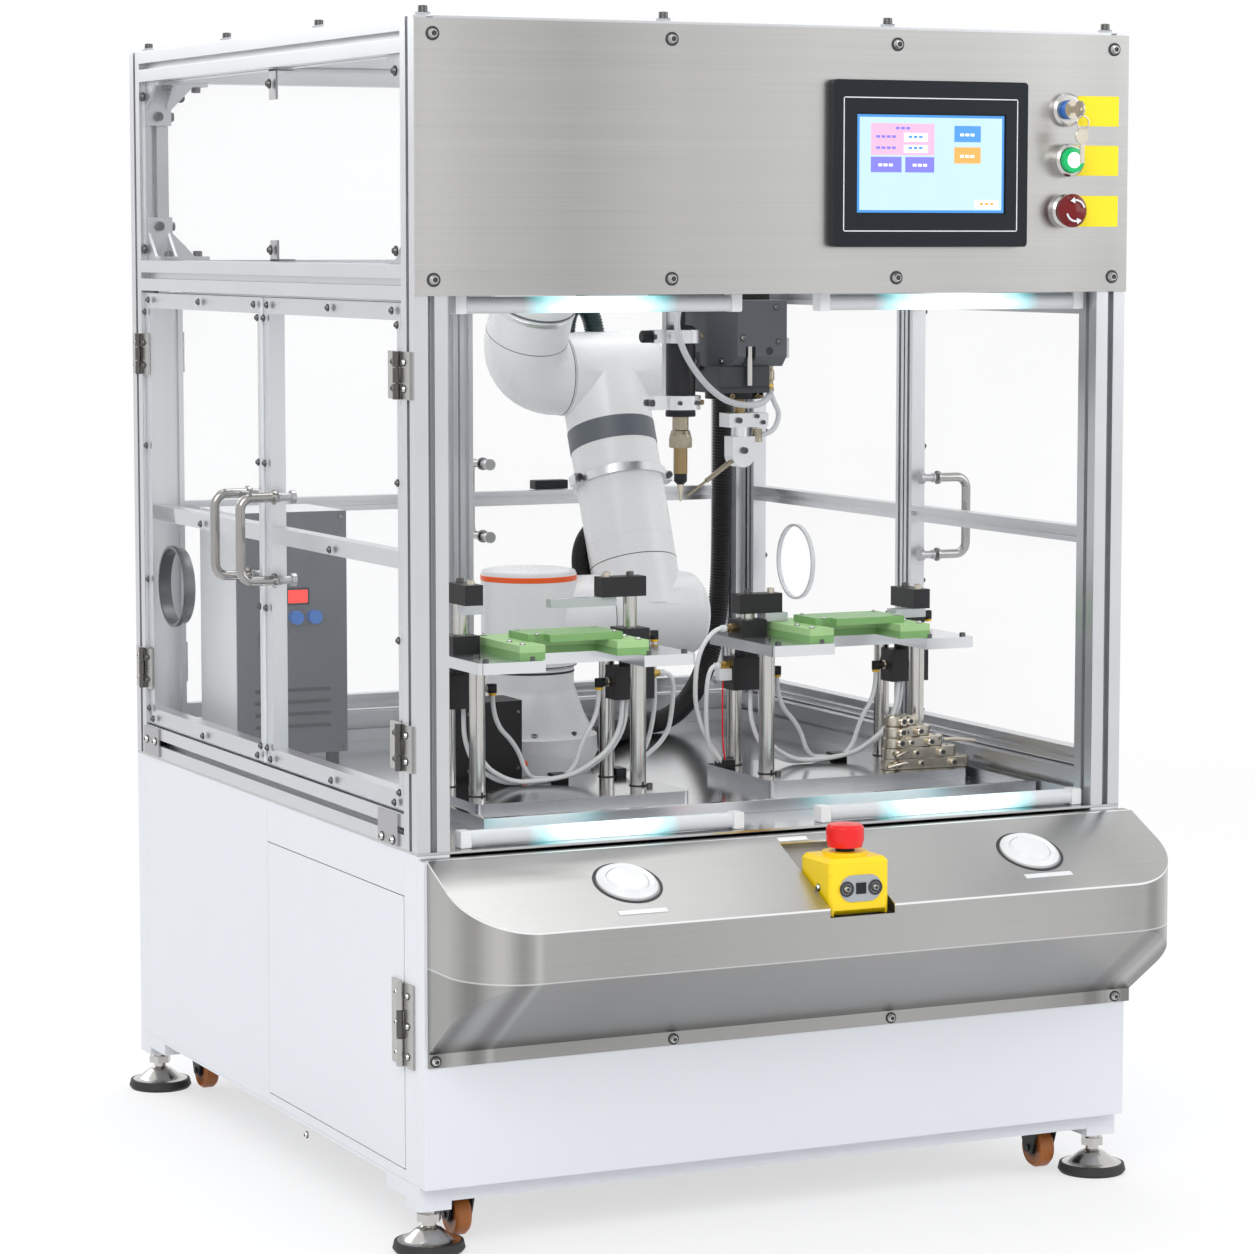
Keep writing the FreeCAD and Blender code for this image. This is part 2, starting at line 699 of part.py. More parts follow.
def hinge_moving(bottom, height, start):
    """The half of a hinge on the leaf: plate and two bored knuckles."""
    third = height / 3
    plate = box(start + 1.0, start + HINGE_LEAF, -HINGE_THICKNESS, 0, bottom, bottom + height)
    shape = plate
    slit = HINGE_SLIT
    for z in (bottom, bottom + 2 * third + slit):
        core = Vector(PIN_U, PIN_V, z)
        length = third - slit
        knuckle = cylinder(core, Z_AXIS, length, KNUCKLE_RADIUS)
        neck = box(PIN_U, start + 2.0, -HINGE_THICKNESS - 1, 0, z, z + length)
        shape = shape.fuse([knuckle, neck])
    clear = box(-10, start + 6.0, -12, 1, bottom + third - slit, bottom + 2 * third + slit)
    shape = shape.cut(clear)
    bore = cylinder(Vector(PIN_U, PIN_V, bottom - 1), Z_AXIS, height + 2, PIN_RADIUS + RUNNING_GAP)
    return shape.cut(bore)


def bow_handle(u, low, high):
    """A bent round bar standing off the pane, on two round feet."""
    grip = [
        Vector(u, 0, low), Vector(u, -HANDLE_REACH, low),
        Vector(u, -HANDLE_REACH, high), Vector(u, 0, high),
    ]
    bar = pipe(grip, HANDLE_RADIUS, HANDLE_BEND)
    foot, thick = HANDLE_FOOT
    feet = [cylinder(Vector(u, 0, z), Y_AXIS * -1, thick, foot) for z in (low, high)]
    return bar.fuse(feet).removeSplitter()


def leaf_frame(width, handle):
    """Stiles, rails and mid rail of one door leaf, with its hinge halves and handle."""
    start = DOOR_GAP
    inner = PANE_THICKNESS
    outer = PANE_THICKNESS + DOOR_BAR
    bars = [
        box(start, start + DOOR_BAR, inner, outer, LEAF_BOTTOM, LEAF_TOP),
        box(width - DOOR_BAR, width, inner, outer, LEAF_BOTTOM, LEAF_TOP),
    ]
    for z in (LEAF_BOTTOM, DOOR_MID_RAIL, LEAF_TOP - DOOR_BAR):
        bars.append(box(start + DOOR_BAR, width - DOOR_BAR, inner, outer, z, z + DOOR_BAR))
    half = GROOVE_WIDTH / 2
    floor = outer - GROOVE_DEPTH
    grooves = []
    for bar in bars:
        size = bar.BoundBox
        if size.ZLength > size.XLength:
            mid = (size.XMin + size.XMax) / 2
            groove = box(mid - half, mid + half, floor, outer + 1, size.ZMin - 1, size.ZMax + 1)
        else:
            mid = (size.ZMin + size.ZMax) / 2
            groove = box(size.XMin - 1, size.XMax + 1, floor, outer + 1, mid - half, mid + half)
        grooves.append(groove)
    bars = [bar.cut(groove) for bar, groove in zip(bars, grooves)]
    for level in HINGE_LEVELS:
        bars.append(hinge_moving(level, HINGE_HEIGHT, start))
    if handle:
        bars.append(bow_handle(width - HANDLE_FROM_EDGE, HANDLE_LOW, HANDLE_HIGH))
    return bars


def leaf_pane(width, port):
    pane = box(DOOR_GAP, width, 0, PANE_THICKNESS, LEAF_BOTTOM, LEAF_TOP)
    if port:
        start = Vector(PORT_FROM_HINGE, -1, PORT_HEIGHT)
        pane = pane.cut(cylinder(start, Y_AXIS, PANE_THICKNESS + 2, PORT_RADIUS))
    return [pane]


# name: hinge corner, turn about Z, mirrored, leaf width, handle, port
LEAVES = {
    "left_front": (Vector(0, INNER_FRONT, 0), -90, True, SIDE_LEAF, True, False),
    "left_rear": (Vector(0, INNER_BACK, 0), -90, False, SIDE_LEAF, True, True),
    "right_front": (Vector(WIDTH, INNER_FRONT, 0), 90, False, SIDE_LEAF, True, False),
    "right_rear": (Vector(WIDTH, INNER_BACK, 0), 90, True, SIDE_LEAF, False, True),
    "back_left": (Vector(INNER_LEFT, DEPTH, 0), 180, True, BACK_LEAF, False, False),
    "back_right": (Vector(INNER_RIGHT, DEPTH, 0), 180, False, BACK_LEAF, True, False),
}


def stand(shapes, leaf):
    """Puts pieces modelled at the origin on the hinge side of a leaf."""
    corner, turn, mirrored = LEAVES[leaf][:3]
    placed = []
    for shape in shapes:
        piece = shape.mirror(Vector(0, 0, 0), X_AXIS) if mirrored else shape.copy()
        piece.rotate(Vector(0, 0, 0), Z_AXIS, turn)
        piece.translate(corner)
        placed.append(piece)
    return placed


def fixed_hinges():
    pieces = []
    for leaf in LEAVES:
        halves = [hinge_fixed(level, HINGE_HEIGHT) for level in HINGE_LEVELS]
        pieces += stand(halves, leaf)
    service = hinge_fixed(SERVICE_HINGE_BOTTOM, SERVICE_HINGE_HEIGHT)
    pieces += stand([service], "left_front")
    return pieces


def service_door():
    """The cabinet door: a folded steel pan with its hinge half."""
    length = SERVICE_DOOR_BACK - PROFILE
    low = SERVICE_DOOR_BOTTOM
    high = SERVICE_DOOR_TOP
    skin = box(DOOR_GAP, length, 0, SERVICE_DOOR_THICKNESS, low, high)
    hollow = box(DOOR_GAP + SHEET, length - SHEET, SHEET, SERVICE_DOOR_THICKNESS + 1,
                 low + SHEET, high - SHEET)
    pan = skin.cut(hollow)
    half = hinge_moving(SERVICE_HINGE_BOTTOM, SERVICE_HINGE_HEIGHT, DOOR_GAP)
    return stand([pan, half], "left_front")


# Fascia, screen and switches

def fascia_panel():
    sheet = box(0, WIDTH, -FASCIA_THICKNESS, 0, FASCIA_BOTTOM, FASCIA_TOP)
    inset = SCREEN_BODY_INSET - FIT_GAP
    window = box(SCREEN_LEFT + inset, SCREEN_RIGHT - inset, -FASCIA_THICKNESS - 1, 1,
                 SCREEN_BOTTOM + inset, SCREEN_TOP - inset)
    sheet = sheet.cut(window)
    for z in SWITCH_LEVELS:
        hole = cylinder(Vector(SWITCH_X, -FASCIA_THICKNESS - 1, z), Y_AXIS,
                        FASCIA_THICKNESS + 2, SWITCH_STEM + FIT_GAP)
        sheet = sheet.cut(hole)
    return [sheet]


def touchscreen():
    """Front bezel with a recessed glass, and the body behind the fascia."""
    front = -FASCIA_THICKNESS - SCREEN_PROUD
    bezel = box(SCREEN_LEFT, SCREEN_RIGHT, front, -FASCIA_THICKNESS, SCREEN_BOTTOM, SCREEN_TOP)
    bezel = fillet_edges(bezel, SCREEN_CORNER, lambda e: len(e.Vertexes) == 2 and
                         abs(e.Vertexes[0].Y - e.Vertexes[1].Y) > SCREEN_PROUD - 1)
    side, foot, deep = GLASS_FRAME
    glass = box(SCREEN_LEFT + side, SCREEN_RIGHT - side, front - 1, front + deep,
                SCREEN_BOTTOM + foot, SCREEN_TOP - foot)
    inset = SCREEN_BODY_INSET
    body = box(SCREEN_LEFT + inset, SCREEN_RIGHT - inset, -FASCIA_THICKNESS, SCREEN_BODY_DEPTH,
               SCREEN_BOTTOM + inset, SCREEN_TOP - inset)
    return [bezel.cut(glass).fuse(body).removeSplitter()]


def switch_bezels():
    """Round metal collars on the fascia and the two white rings on the console."""
    pieces = []
    face = -FASCIA_THICKNESS
    for z, inner in zip(SWITCH_LEVELS, (KEY_RADIUS, RUN_CAP_RADIUS, SWITCH_STEM)):
        proud = SWITCH_PROUD if inner != SWITCH_STEM else SWITCH_PROUD / 2
        back = Vector(SWITCH_X, face, z)
        collar = turned([
            (inner + FIT_GAP, 0), (SWITCH_RADIUS, 0), (SWITCH_RADIUS, proud - 3),
            (SWITCH_RADIUS - 3, proud), (inner + FIT_GAP, proud),
        ], back, Y_AXIS * -1)
        barrel = ring(Vector(SWITCH_X, face, z), Y_AXIS, SWITCH_BACK, SWITCH_STEM,
                      SWITCH_STEM - 3)
        pieces.append(collar)
        pieces.append(barrel)
    deep, nut, lip, high, wall = START_RING_STEPS
    for start in START_X:
        foot = slope_point(start)
        pieces.append(turned([
            (START_CAP + FIT_GAP, -deep), (START_RING - wall, -deep), (START_RING - wall, -nut),
            (START_HOLE + 6, -nut), (START_HOLE + 6, -SHEET - FIT_GAP),
            (START_RING, -SHEET - FIT_GAP), (START_RING, lip), (START_RING - wall, high),
            (START_CAP + FIT_GAP, high - 2),
        ], foot, SLOPE_NORMAL))
    return pieces


def power_key():
    """Blue rotor of the key switch with the key's bow standing out of it."""
    front = -FASCIA_THICKNESS
    foot = Vector(SWITCH_X, front, SWITCH_LEVELS[0])
    rotor = turned([(0, 0.5), (KEY_RADIUS, 0.5), (KEY_RADIUS, SWITCH_PROUD + 1),
                    (0, SWITCH_PROUD + 1)], foot, Y_AXIS * -1)
    tip = front - SWITCH_PROUD - 1
    blade = box(SWITCH_X - 1.2, SWITCH_X + 1.2, tip - 10, tip, foot.z - 4, foot.z + 4)
    bow = cylinder(Vector(SWITCH_X - 1.2, tip - 16, foot.z), X_AXIS, 2.4, 10)
    eye = cylinder(Vector(SWITCH_X - 2, tip - 21, foot.z), X_AXIS, 4, 2.5)
    return [rotor.fuse([blade, bow]).cut(eye).removeSplitter()]


def run_button():
    """Lit push button with a shallow dome."""
    front = -FASCIA_THICKNESS
    foot = Vector(SWITCH_X, front, SWITCH_LEVELS[1])
    r = RUN_CAP_RADIUS
    h = SWITCH_PROUD
    return [turned([(0, BUTTON_TRAVEL + 1), (r, BUTTON_TRAVEL + 1), (r, h), (r - 3, h + 4),
                    (0, h + 5)], foot, Y_AXIS * -1)]


def panel_stop():
    """Mushroom head of the stop on the fascia, on its stem."""
    foot = Vector(SWITCH_X, -FASCIA_THICKNESS, SWITCH_LEVELS[2])
    gap = SWITCH_PROUD / 2 + BUTTON_TRAVEL + 1
    r = STOP_KNOB_RADIUS
    stem = SWITCH_STEM
    return [turned([(0, 1 + BUTTON_TRAVEL), (stem, 1 + BUTTON_TRAVEL), (stem, gap),
                    (r, gap), (r + 1, gap + 6), (r - 3, gap + 11), (0, gap + 13)],
                   foot, Y_AXIS * -1)]


# Console

def console_side(inset):
    """Side outline of the console in Y and Z, moved inwards by inset."""
    slope = math.atan2(CONSOLE_TOP - CONSOLE_EDGE, CONSOLE_REACH - CONSOLE_FOLD)
    under = math.atan2(CONSOLE_LOWER_EDGE - CONSOLE_FLANGE_TOP,
                       CONSOLE_REACH - FRONT_PANEL_DEPTH - SHEET)
    half_fold = inset * math.tan(slope / 2)
    half_nose = inset * math.tan((math.pi / 2 - slope) / 2)
    half_chin = inset * math.tan((math.pi / 2 - under) / 2)
    front = -CONSOLE_REACH + inset
    back = -FRONT_PANEL_DEPTH
    return [
        (0.0 if inset == 0 else 5.0, CONSOLE_TOP - inset),
        (-CONSOLE_FOLD + half_fold, CONSOLE_TOP - inset),
        (front, CONSOLE_EDGE - half_nose),
        (front, CONSOLE_LOWER_EDGE + half_chin),
        (back - SHEET + inset, CONSOLE_FLANGE_TOP + half_chin),
        (back - SHEET + inset, CONSOLE_FLANGE_BOTTOM - (0.0 if inset == 0 else 5.0)),
        (back if inset == 0 else 5.0, CONSOLE_FLANGE_BOTTOM - (0.0 if inset == 0 else 5.0)),
        (back if inset == 0 else 5.0, CONSOLE_TOP - SHEET if inset == 0 else 300.0),
        (0.0 if inset == 0 else 5.0, CONSOLE_TOP - SHEET if inset == 0 else 300.0),
    ]


def console_plan(inset):
    """Plan outline of the console with two large rounded front corners."""
    left = CONSOLE_LEFT + inset
    right = CONSOLE_RIGHT - inset
    front = -CONSOLE_REACH + inset
    bend = CONSOLE_CORNER - inset
    z = CONSOLE_FLANGE_BOTTOM - 10
    back = 6.0 if inset else 0.0
    turn = bend * (1 - math.sqrt(0.5))
    line = Part.LineSegment
    edges = [
        line(Vector(left, back, z), Vector(left, front + bend, z)).toShape(),
        Part.Arc(Vector(left, front + bend, z), Vector(left + turn, front + turn, z),
                 Vector(left + bend, front, z)).toShape(),
        line(Vector(left + bend, front, z), Vector(right - bend, front, z)).toShape(),
        Part.Arc(Vector(right - bend, front, z), Vector(right - turn, front + turn, z),
                 Vector(right, front + bend, z)).toShape(),
        line(Vector(right, front + bend, z), Vector(right, back, z)).toShape(),
        line(Vector(right, back, z), Vector(left, back, z)).toShape(),
    ]
    return Part.Wire(edges)


def console_block(inset):
    plan = Part.Face(console_plan(inset)).extrude(Z_AXIS * (CONSOLE_TOP + 20))
    side = [Vector(CONSOLE_LEFT - 10, y, z) for y, z in console_side(inset)]
    return plan.common(prism(side, X_AXIS * (CONSOLE_RIGHT - CONSOLE_LEFT + 20)))


SLOPE_RUN = CONSOLE_REACH - CONSOLE_FOLD
SLOPE_FALL = CONSOLE_TOP - CONSOLE_EDGE
SLOPE_LENGTH = math.hypot(SLOPE_RUN, SLOPE_FALL)
SLOPE_NORMAL = Vector(0, -SLOPE_FALL / SLOPE_LENGTH, SLOPE_RUN / SLOPE_LENGTH)


def slope_point(x):
    """The middle of a start button on the sloping face."""
    share = START_ALONG_SLOPE / SLOPE_LENGTH
    return Vector(x, -CONSOLE_FOLD - SLOPE_RUN * share, CONSOLE_TOP - SLOPE_FALL * share)


def console_cover():
    """The bent stainless cover with its two button holes and the notch for the stop box."""
    shell = console_block(0.0).cut(console_block(SHEET))
    for x in START_X:
        start = slope_point(x) - SLOPE_NORMAL * 12
        shell = shell.cut(cylinder(start, SLOPE_NORMAL, 24, START_HOLE))
    notch = box(STOP_NOTCH[0], STOP_NOTCH[1], -CONSOLE_REACH - 5, -STOP_NOTCH_BACK,
                STOP_BOX_BOTTOM, CONSOLE_TOP + 5)
    return [shell.cut(notch)]


def start_button(x):
    """White domed cap that slides in its ring, square to the slope."""
    r = START_CAP
    return [turned([(0, -10), (r, -10), (r, 4), (r - 3, 7), (0, 8)], slope_point(x), SLOPE_NORMAL)]


def stop_centre():
    x = (STOP_NOTCH[0] + STOP_NOTCH[1]) / 2
    return Vector(x, -STOP_BOX_FRONT + STOP_BOX_DEPTH / 2, STOP_BOX_TOP)


def stop_box():
    """Yellow enclosure with chamfered shoulders, standing on a shelf from the cabinet."""
    left = STOP_NOTCH[0] + STOP_BOX_MARGIN
    right = STOP_NOTCH[1] - STOP_BOX_MARGIN
    back = -STOP_BOX_FRONT + STOP_BOX_DEPTH
    body = box(left, right, -STOP_BOX_FRONT, back, STOP_BOX_BOTTOM,
               STOP_BOX_TOP - STOP_COLLAR)
    rim = body.BoundBox
    body = fillet_edges(body, 6.0, upright)
    top = [e for e in body.Edges if abs(e.BoundBox.ZMin - rim.ZMax) < 0.01
           and abs(e.BoundBox.ZMax - rim.ZMax) < 0.01]
    body = body.makeChamfer(5.0, top)
    centre = stop_centre()
    collar = cylinder(centre - Z_AXIS * STOP_COLLAR, Z_AXIS, STOP_COLLAR,
                      STOP_BUTTON_RADIUS + STOP_COLLAR)
    well = cylinder(centre - Z_AXIS * STOP_WELL, Z_AXIS, STOP_WELL + 1, SWITCH_STEM + FIT_GAP)
    shelf = box(left, right, -STOP_BOX_FRONT + 6, -FRONT_PANEL_DEPTH,
                STOP_BOX_BOTTOM - SHEET, STOP_BOX_BOTTOM)
    lip = box(left, right, -FRONT_PANEL_DEPTH - SHEET, -FRONT_PANEL_DEPTH,
              STOP_BOX_BOTTOM - STOP_LIP, STOP_BOX_BOTTOM)
    return [body.fuse(collar).cut(well).removeSplitter(), shelf.fuse(lip).removeSplitter()]


def box_stop():
    """Red mushroom button on the stop box."""
    r = STOP_BUTTON_RADIUS
    gap = BUTTON_TRAVEL + 1
    return [turned([(0, -18), (SWITCH_STEM, -18), (SWITCH_STEM, gap), (r - 2, gap),
                    (r, gap + 8), (r, gap + 22), (r - 3, gap + 26), (0, gap + 27)],
                   stop_centre())]


def light_bars():
    """Four round light bars with end caps, above and below the work opening."""
    pieces = []
    upper = FRONT_MID_RAIL_BOTTOM - BAR_RADIUS - BAR_DROP
    lower = TABLE_TOP + BAR_RADIUS
    cap = BAR_CAP
    for left in BAR_LEFTS:
        for y, z in ((BAR_UPPER_Y, upper), (BAR_LOWER_Y, lower)):
            start = Vector(left + cap, y, z)
            tube = cylinder(start, X_AXIS, BAR_LENGTH - 2 * cap, BAR_RADIUS - 0.5)
            pieces.append(tube)
            for x in (left, left + BAR_LENGTH - cap):
                end = cylinder(Vector(x, y, z), X_AXIS, cap, BAR_RADIUS)
                if z == upper:
                    seat = box(x + 2, x + cap - 2, y - BAR_SEAT / 2, y + BAR_SEAT / 2, z,
                               FRONT_MID_RAIL_BOTTOM)
                    end = end.fuse(seat).removeSplitter()
                pieces.append(end)
    return pieces


# Fixtures, carriers and clamps

def plate_corner(fixture):
    """Front left corner of a top plate, on its upper face."""
    x = FIXTURE_LEFTS[fixture] + TOP_PLATE_SHIFT
    y = FIXTURE_FRONTS[fixture] + TOP_PLATE_SHIFT
    return Vector(x, y, TOP_PLATE_LEVEL)


def locating_frame():
    """Flat bars on the table round both fixtures, open at the back."""
    left, right, front, back = LOCATING_FRAME
    thick, tall = LOCATING_BAR
    top = TABLE_TOP + tall
    return [
        box(left, right, front, front + thick, TABLE_TOP, top),
        box(left, left + thick, front + thick, back, TABLE_TOP, top),
        box(right - thick, right, front + thick, back, TABLE_TOP, top),
    ]


def fixture_stand(fixture):
    """Base plate, four posts and a top plate with a notch open to the front."""
    left = FIXTURE_LEFTS[fixture]
    front = FIXTURE_FRONTS[fixture]
    base_top = TABLE_TOP + BASE_PLATE[2]
    base = slab(left, left + BASE_PLATE[0], front, front + BASE_PLATE[1], TABLE_TOP, base_top,
                PLATE_CORNER)
    pieces = [base]
    under = TOP_PLATE_LEVEL - TOP_PLATE[2]
    for x in POST_X:
        for y in POST_Y:
            foot = Vector(left + x, front + y, base_top)
            pieces.append(cylinder(foot, Z_AXIS, under - base_top, POST_RADIUS))
    corner = plate_corner(fixture)
    top = slab(corner.x, corner.x + TOP_PLATE[0], corner.y, corner.y + TOP_PLATE[1], under,
               TOP_PLATE_LEVEL, PLATE_CORNER)
    notch = box(corner.x + NOTCH_X[0], corner.x + NOTCH_X[1], corner.y - 1,
                corner.y + NOTCH_DEPTH, under - 1, TOP_PLATE_LEVEL + 1)
    top = top.cut(notch)
    for x in CLAMP_X:
        hole = cylinder(Vector(corner.x + x, corner.y + CLAMP_Y, under - 1), Z_AXIS,
                        TOP_PLATE[2] + 2, CLAMP_ROD_RADIUS + FIT_GAP)
        top = top.cut(hole)
    pieces.append(top)
    return pieces


CARRIER_TOP = TOP_PLATE_LEVEL + 2 * CARRIER_LAYER


def board_carrier(fixture):
    """Two stacked U shaped boards and the bridge piece screwed over them."""
    corner = plate_corner(fixture)
    front = corner.y + CARRIER_FRONT
    outer = (corner.x + CARRIER_X[0], corner.x + CARRIER_X[1])
    slot = (corner.x + CARRIER_SLOT_X[0], corner.x + CARRIER_SLOT_X[1])
    pieces = []
    for layer in range(2):
        low = TOP_PLATE_LEVEL + layer * CARRIER_LAYER
        board = box(outer[0], outer[1], front, front + CARRIER_DEPTH, low,
                    low + CARRIER_LAYER)
        cut = box(slot[0], slot[1], front - 1, front + CARRIER_SLOT_DEPTH, low - 1,
                  low + CARRIER_LAYER + 1)
        pieces.append(board.cut(cut))
    bridge = box(corner.x + BRIDGE_X[0], corner.x + BRIDGE_X[1], corner.y + BRIDGE_Y[0],
                 corner.y + BRIDGE_Y[1], CARRIER_TOP, CARRIER_TOP + CARRIER_LAYER)
    wide, deep = BRIDGE_RELIEF
    relief = box(corner.x + BRIDGE_X[0] - 1, corner.x + BRIDGE_X[0] + wide,
                 corner.y + BRIDGE_Y[0] - 1, corner.y + BRIDGE_Y[0] + deep, CARRIER_TOP - 1,
                 CARRIER_TOP + CARRIER_LAYER + 1)
    pieces.append(bridge.cut(relief))
    return pieces


# fixture, place along it, heading of the head, raised, clear pad before it is turned
CLAMPS = {
    "left_outer": (0, 0, -90, True, (20.0, 44.0, -12.0, 12.0)),
    "left_inner": (0, 1, 180, True, (22.0, 112.0, -7.0, 7.0)),
    "right_outer": (1, 0, 0, False, (20.0, 52.0, -12.0, 12.0)),
    "right_inner": (1, 1, -90, False, (20.0, 44.0, -38.0, 6.0)),
}


def clamp_spot(name):
    """Where the rod of a clamp passes the upper face of its top plate."""
    fixture, place = CLAMPS[name][:2]
    return plate_corner(fixture) + Vector(CLAMP_X[place], CLAMP_Y, 0)


def clamp_cylinders():
    """Black guide feet on the top plates and the cylinders that hang below them."""
    pieces = []
    wide, deep, tall = CLAMP_FOOT
    body_wide, body_deep, body_tall = CLAMP_BODY
    top = TOP_PLATE_LEVEL - TOP_PLATE[2] - CLAMP_BODY_DROP
    for name in CLAMPS:
        spot = clamp_spot(name)
        foot = box(spot.x - wide / 2, spot.x + wide / 2, spot.y - deep / 2, spot.y + deep / 2,
                   spot.z, spot.z + tall)
        bore = cylinder(spot - Z_AXIS, Z_AXIS, tall + 2, CLAMP_ROD_RADIUS + RUNNING_GAP)
        pieces.append(foot.cut(bore))
        body = box(spot.x - body_wide / 2, spot.x + body_wide / 2, spot.y - body_deep / 2,
                   spot.y + body_deep / 2, top - body_tall, top)
        neck = cylinder(Vector(spot.x, spot.y, top), Z_AXIS, CLAMP_BODY_DROP,
                        CLAMP_ROD_RADIUS + 5)
        well = cylinder(Vector(spot.x, spot.y, top - body_tall + CLAMP_WELL_FLOOR), Z_AXIS,
                        body_tall + CLAMP_BODY_DROP, CLAMP_ROD_RADIUS + RUNNING_GAP)
        pieces.append(body.fuse(neck).cut(well).removeSplitter())
    return pieces


def clamp_arm(name):
    """Rod, black head and the clear pad that presses on the board."""
    _, _, heading, raised, pad = CLAMPS[name]
    spot = clamp_spot(name)
    lift = CLAMP_STROKE if raised else 0.0
    pad_low = CARRIER_TOP + CLAMP_PAD_GAP + lift
    head_low = pad_low + CLAMP_PAD_HEIGHT
    rod_low = spot.z - TOP_PLATE[2] - CLAMP_BODY_DROP - CLAMP_STROKE - CLAMP_ROD_KEPT + lift
    back, front, wide, tall = CLAMP_HEAD
    rod = cylinder(Vector(0, 0, rod_low), Z_AXIS, head_low - rod_low, CLAMP_ROD_RADIUS)
    head = box(back, front, -wide / 2, wide / 2, head_low, head_low + tall)
    block = box(pad[0], pad[1], pad[2], pad[3], pad_low, head_low)
    shapes = [rod.fuse(head).removeSplitter(), block]
    for shape in shapes:
        shape.rotate(Vector(0, 0, 0), Z_AXIS, heading)
        shape.translate(Vector(spot.x, spot.y, 0))
    return shapes


# Controllers

def controllers():
    """Iron controller and valve box on the table, arm controller and inlet in the cabinet."""
    wide, deep, tall = CONTROLLER_SIZE
    x0 = CONTROLLER_SPOT[0]
    x1 = x0 + wide
    y1 = DEPTH - CONTROLLER_SPOT[1]
    y0 = y1 - deep
    low = TABLE_TOP + CONTROLLER_FOOT[1]
    face = y0 + CONTROLLER_FACE
    unit = [box(x0, x1, face, y1, low, low + tall), box(x0, x1, y0, face, low, low + tall)]
    radius, foot = CONTROLLER_FOOT
    for x in (x0 + CONTROLLER_FOOT_INSET, x1 - CONTROLLER_FOOT_INSET):
        for y in (y0 + CONTROLLER_FOOT_INSET, y1 - CONTROLLER_FOOT_INSET):
            unit.append(cylinder(Vector(x, y, TABLE_TOP), Z_AXIS, foot, radius))
    radius, proud = KNOB_SIZE
    knobs = [cylinder(Vector(x0 + x, y0, TABLE_TOP + KNOB_LEVEL), Y_AXIS * -1, proud, radius)
             for x in KNOB_X]
    x, y = VALVE_SPOT
    wide, deep, tall = VALVE_SIZE
    top = TABLE_TOP + tall
    valve = fillet_edges(box(x, x + wide, y, y + deep, TABLE_TOP, top), VALVE_CORNER, upright)
    x0, x1, y0, y1, rise = VALVE_LID
    lid = box(x + x0, x + x1, y + y0, y + y1, top, top + rise)
    wide, deep, tall = POWER_SIZE
    x1 = WIDTH - POWER_SPOT[0]
    power = box(x1 - wide, x1, POWER_SPOT[1], POWER_SPOT[1] + deep, SILL_HEIGHT,
                SILL_HEIGHT + tall)
    x, z = INLET_SPOT
    half, rise, proud = INLET_SIZE
    socket = box(x - half, x + half, DEPTH, DEPTH + proud, z - rise, z + rise)
    half, rise, floor = INLET_MOUTH
    mouth = box(x - half, x + half, DEPTH + floor, DEPTH + proud + 1, z - rise, z + rise)
    return unit + knobs + [valve, lid, power, socket.cut(mouth)]


# Arm

def lean(angle):
    """Unit vector leaning back from upright by an angle in degrees."""
    turn = math.radians(angle)
    return Vector(0, math.sin(turn), math.cos(turn))


SHOULDER = Vector(ARM_X, ARM_Y, SHOULDER_Z)
ELBOW = SHOULDER + lean(UPPER_ARM_LEAN) * UPPER_ARM_LENGTH
WRIST = ELBOW + lean(FOREARM_LEAN) * FOREARM_LENGTH
WRIST_SEAM = FOREARM_X + WRIST_BEND + 6
HAND_X = FOREARM_X + WRIST_REACH
HAND_SEAM_Y = WRIST.y - WRIST_BEND - 6
HAND_Y = WRIST.y - HAND_REACH
FLANGE_Z = WRIST.z - HAND_DROP


def at(point, x):
    return Vector(x, point.y, point.z)


def barrel(point, x0, x1, radius):
    """A joint housing along X whose far end is domed."""
    length = x1 - x0
    r = radius
    c = BARREL_ROUND
    mid = c * (1 - math.sqrt(0.5))
    line = Part.LineSegment
    edges = [
        line(Vector(0, 0, 0), Vector(r, 0, 0)).toShape(),
        line(Vector(r, 0, 0), Vector(r, 0, length - c)).toShape(),
        Part.Arc(Vector(r, 0, length - c), Vector(r - mid, 0, length - mid),
                 Vector(r - c, 0, length)).toShape(),
        line(Vector(r - c, 0, length), Vector(0, 0, length)).toShape(),
        line(Vector(0, 0, length), Vector(0, 0, 0)).toShape(),
    ]
    solid = Part.Face(Part.Wire(edges)).revolve(Vector(0, 0, 0), Z_AXIS, 360)
    solid.Placement = FreeCAD.Placement(at(point, x0), FreeCAD.Rotation(Z_AXIS, X_AXIS))
    return solid


def robot_base():
    """Flared foot, cone and neck under the turning column."""
    foot = Vector(ARM_X, ARM_Y, TABLE_TOP)
    r = ARM_FOOT_RADIUS
    return [turned([(0, 0), (r - 10, 0), (r, 24), (r - 1, 46), (r - 6, 50), (r - 18, 74),
                    (r - 31, 110), (r - 31, COLUMN_BOTTOM - JOINT_GAP - TABLE_TOP),
                    (0, COLUMN_BOTTOM - JOINT_GAP - TABLE_TOP)], foot)]


def robot_shoulder():
    """Turning column with its cap, and the housing that carries the shoulder joint."""
    r = COLUMN_RADIUS
    foot = Vector(ARM_X, ARM_Y, COLUMN_BOTTOM)
    tall = COLUMN_TOP - COLUMN_BOTTOM
    column = turned([(0, 0), (r - 3, 0), (r, 3), (r, tall - 6), (r - 2, tall - 2),
                     (r - 12, tall), (0, tall)], foot)
    seam = ELBOW_SEAM - JOINT_GAP
    arm = cylinder(SHOULDER, X_AXIS, seam - ARM_X, BARREL_RADIUS)
    return [column.fuse(arm).removeSplitter()]


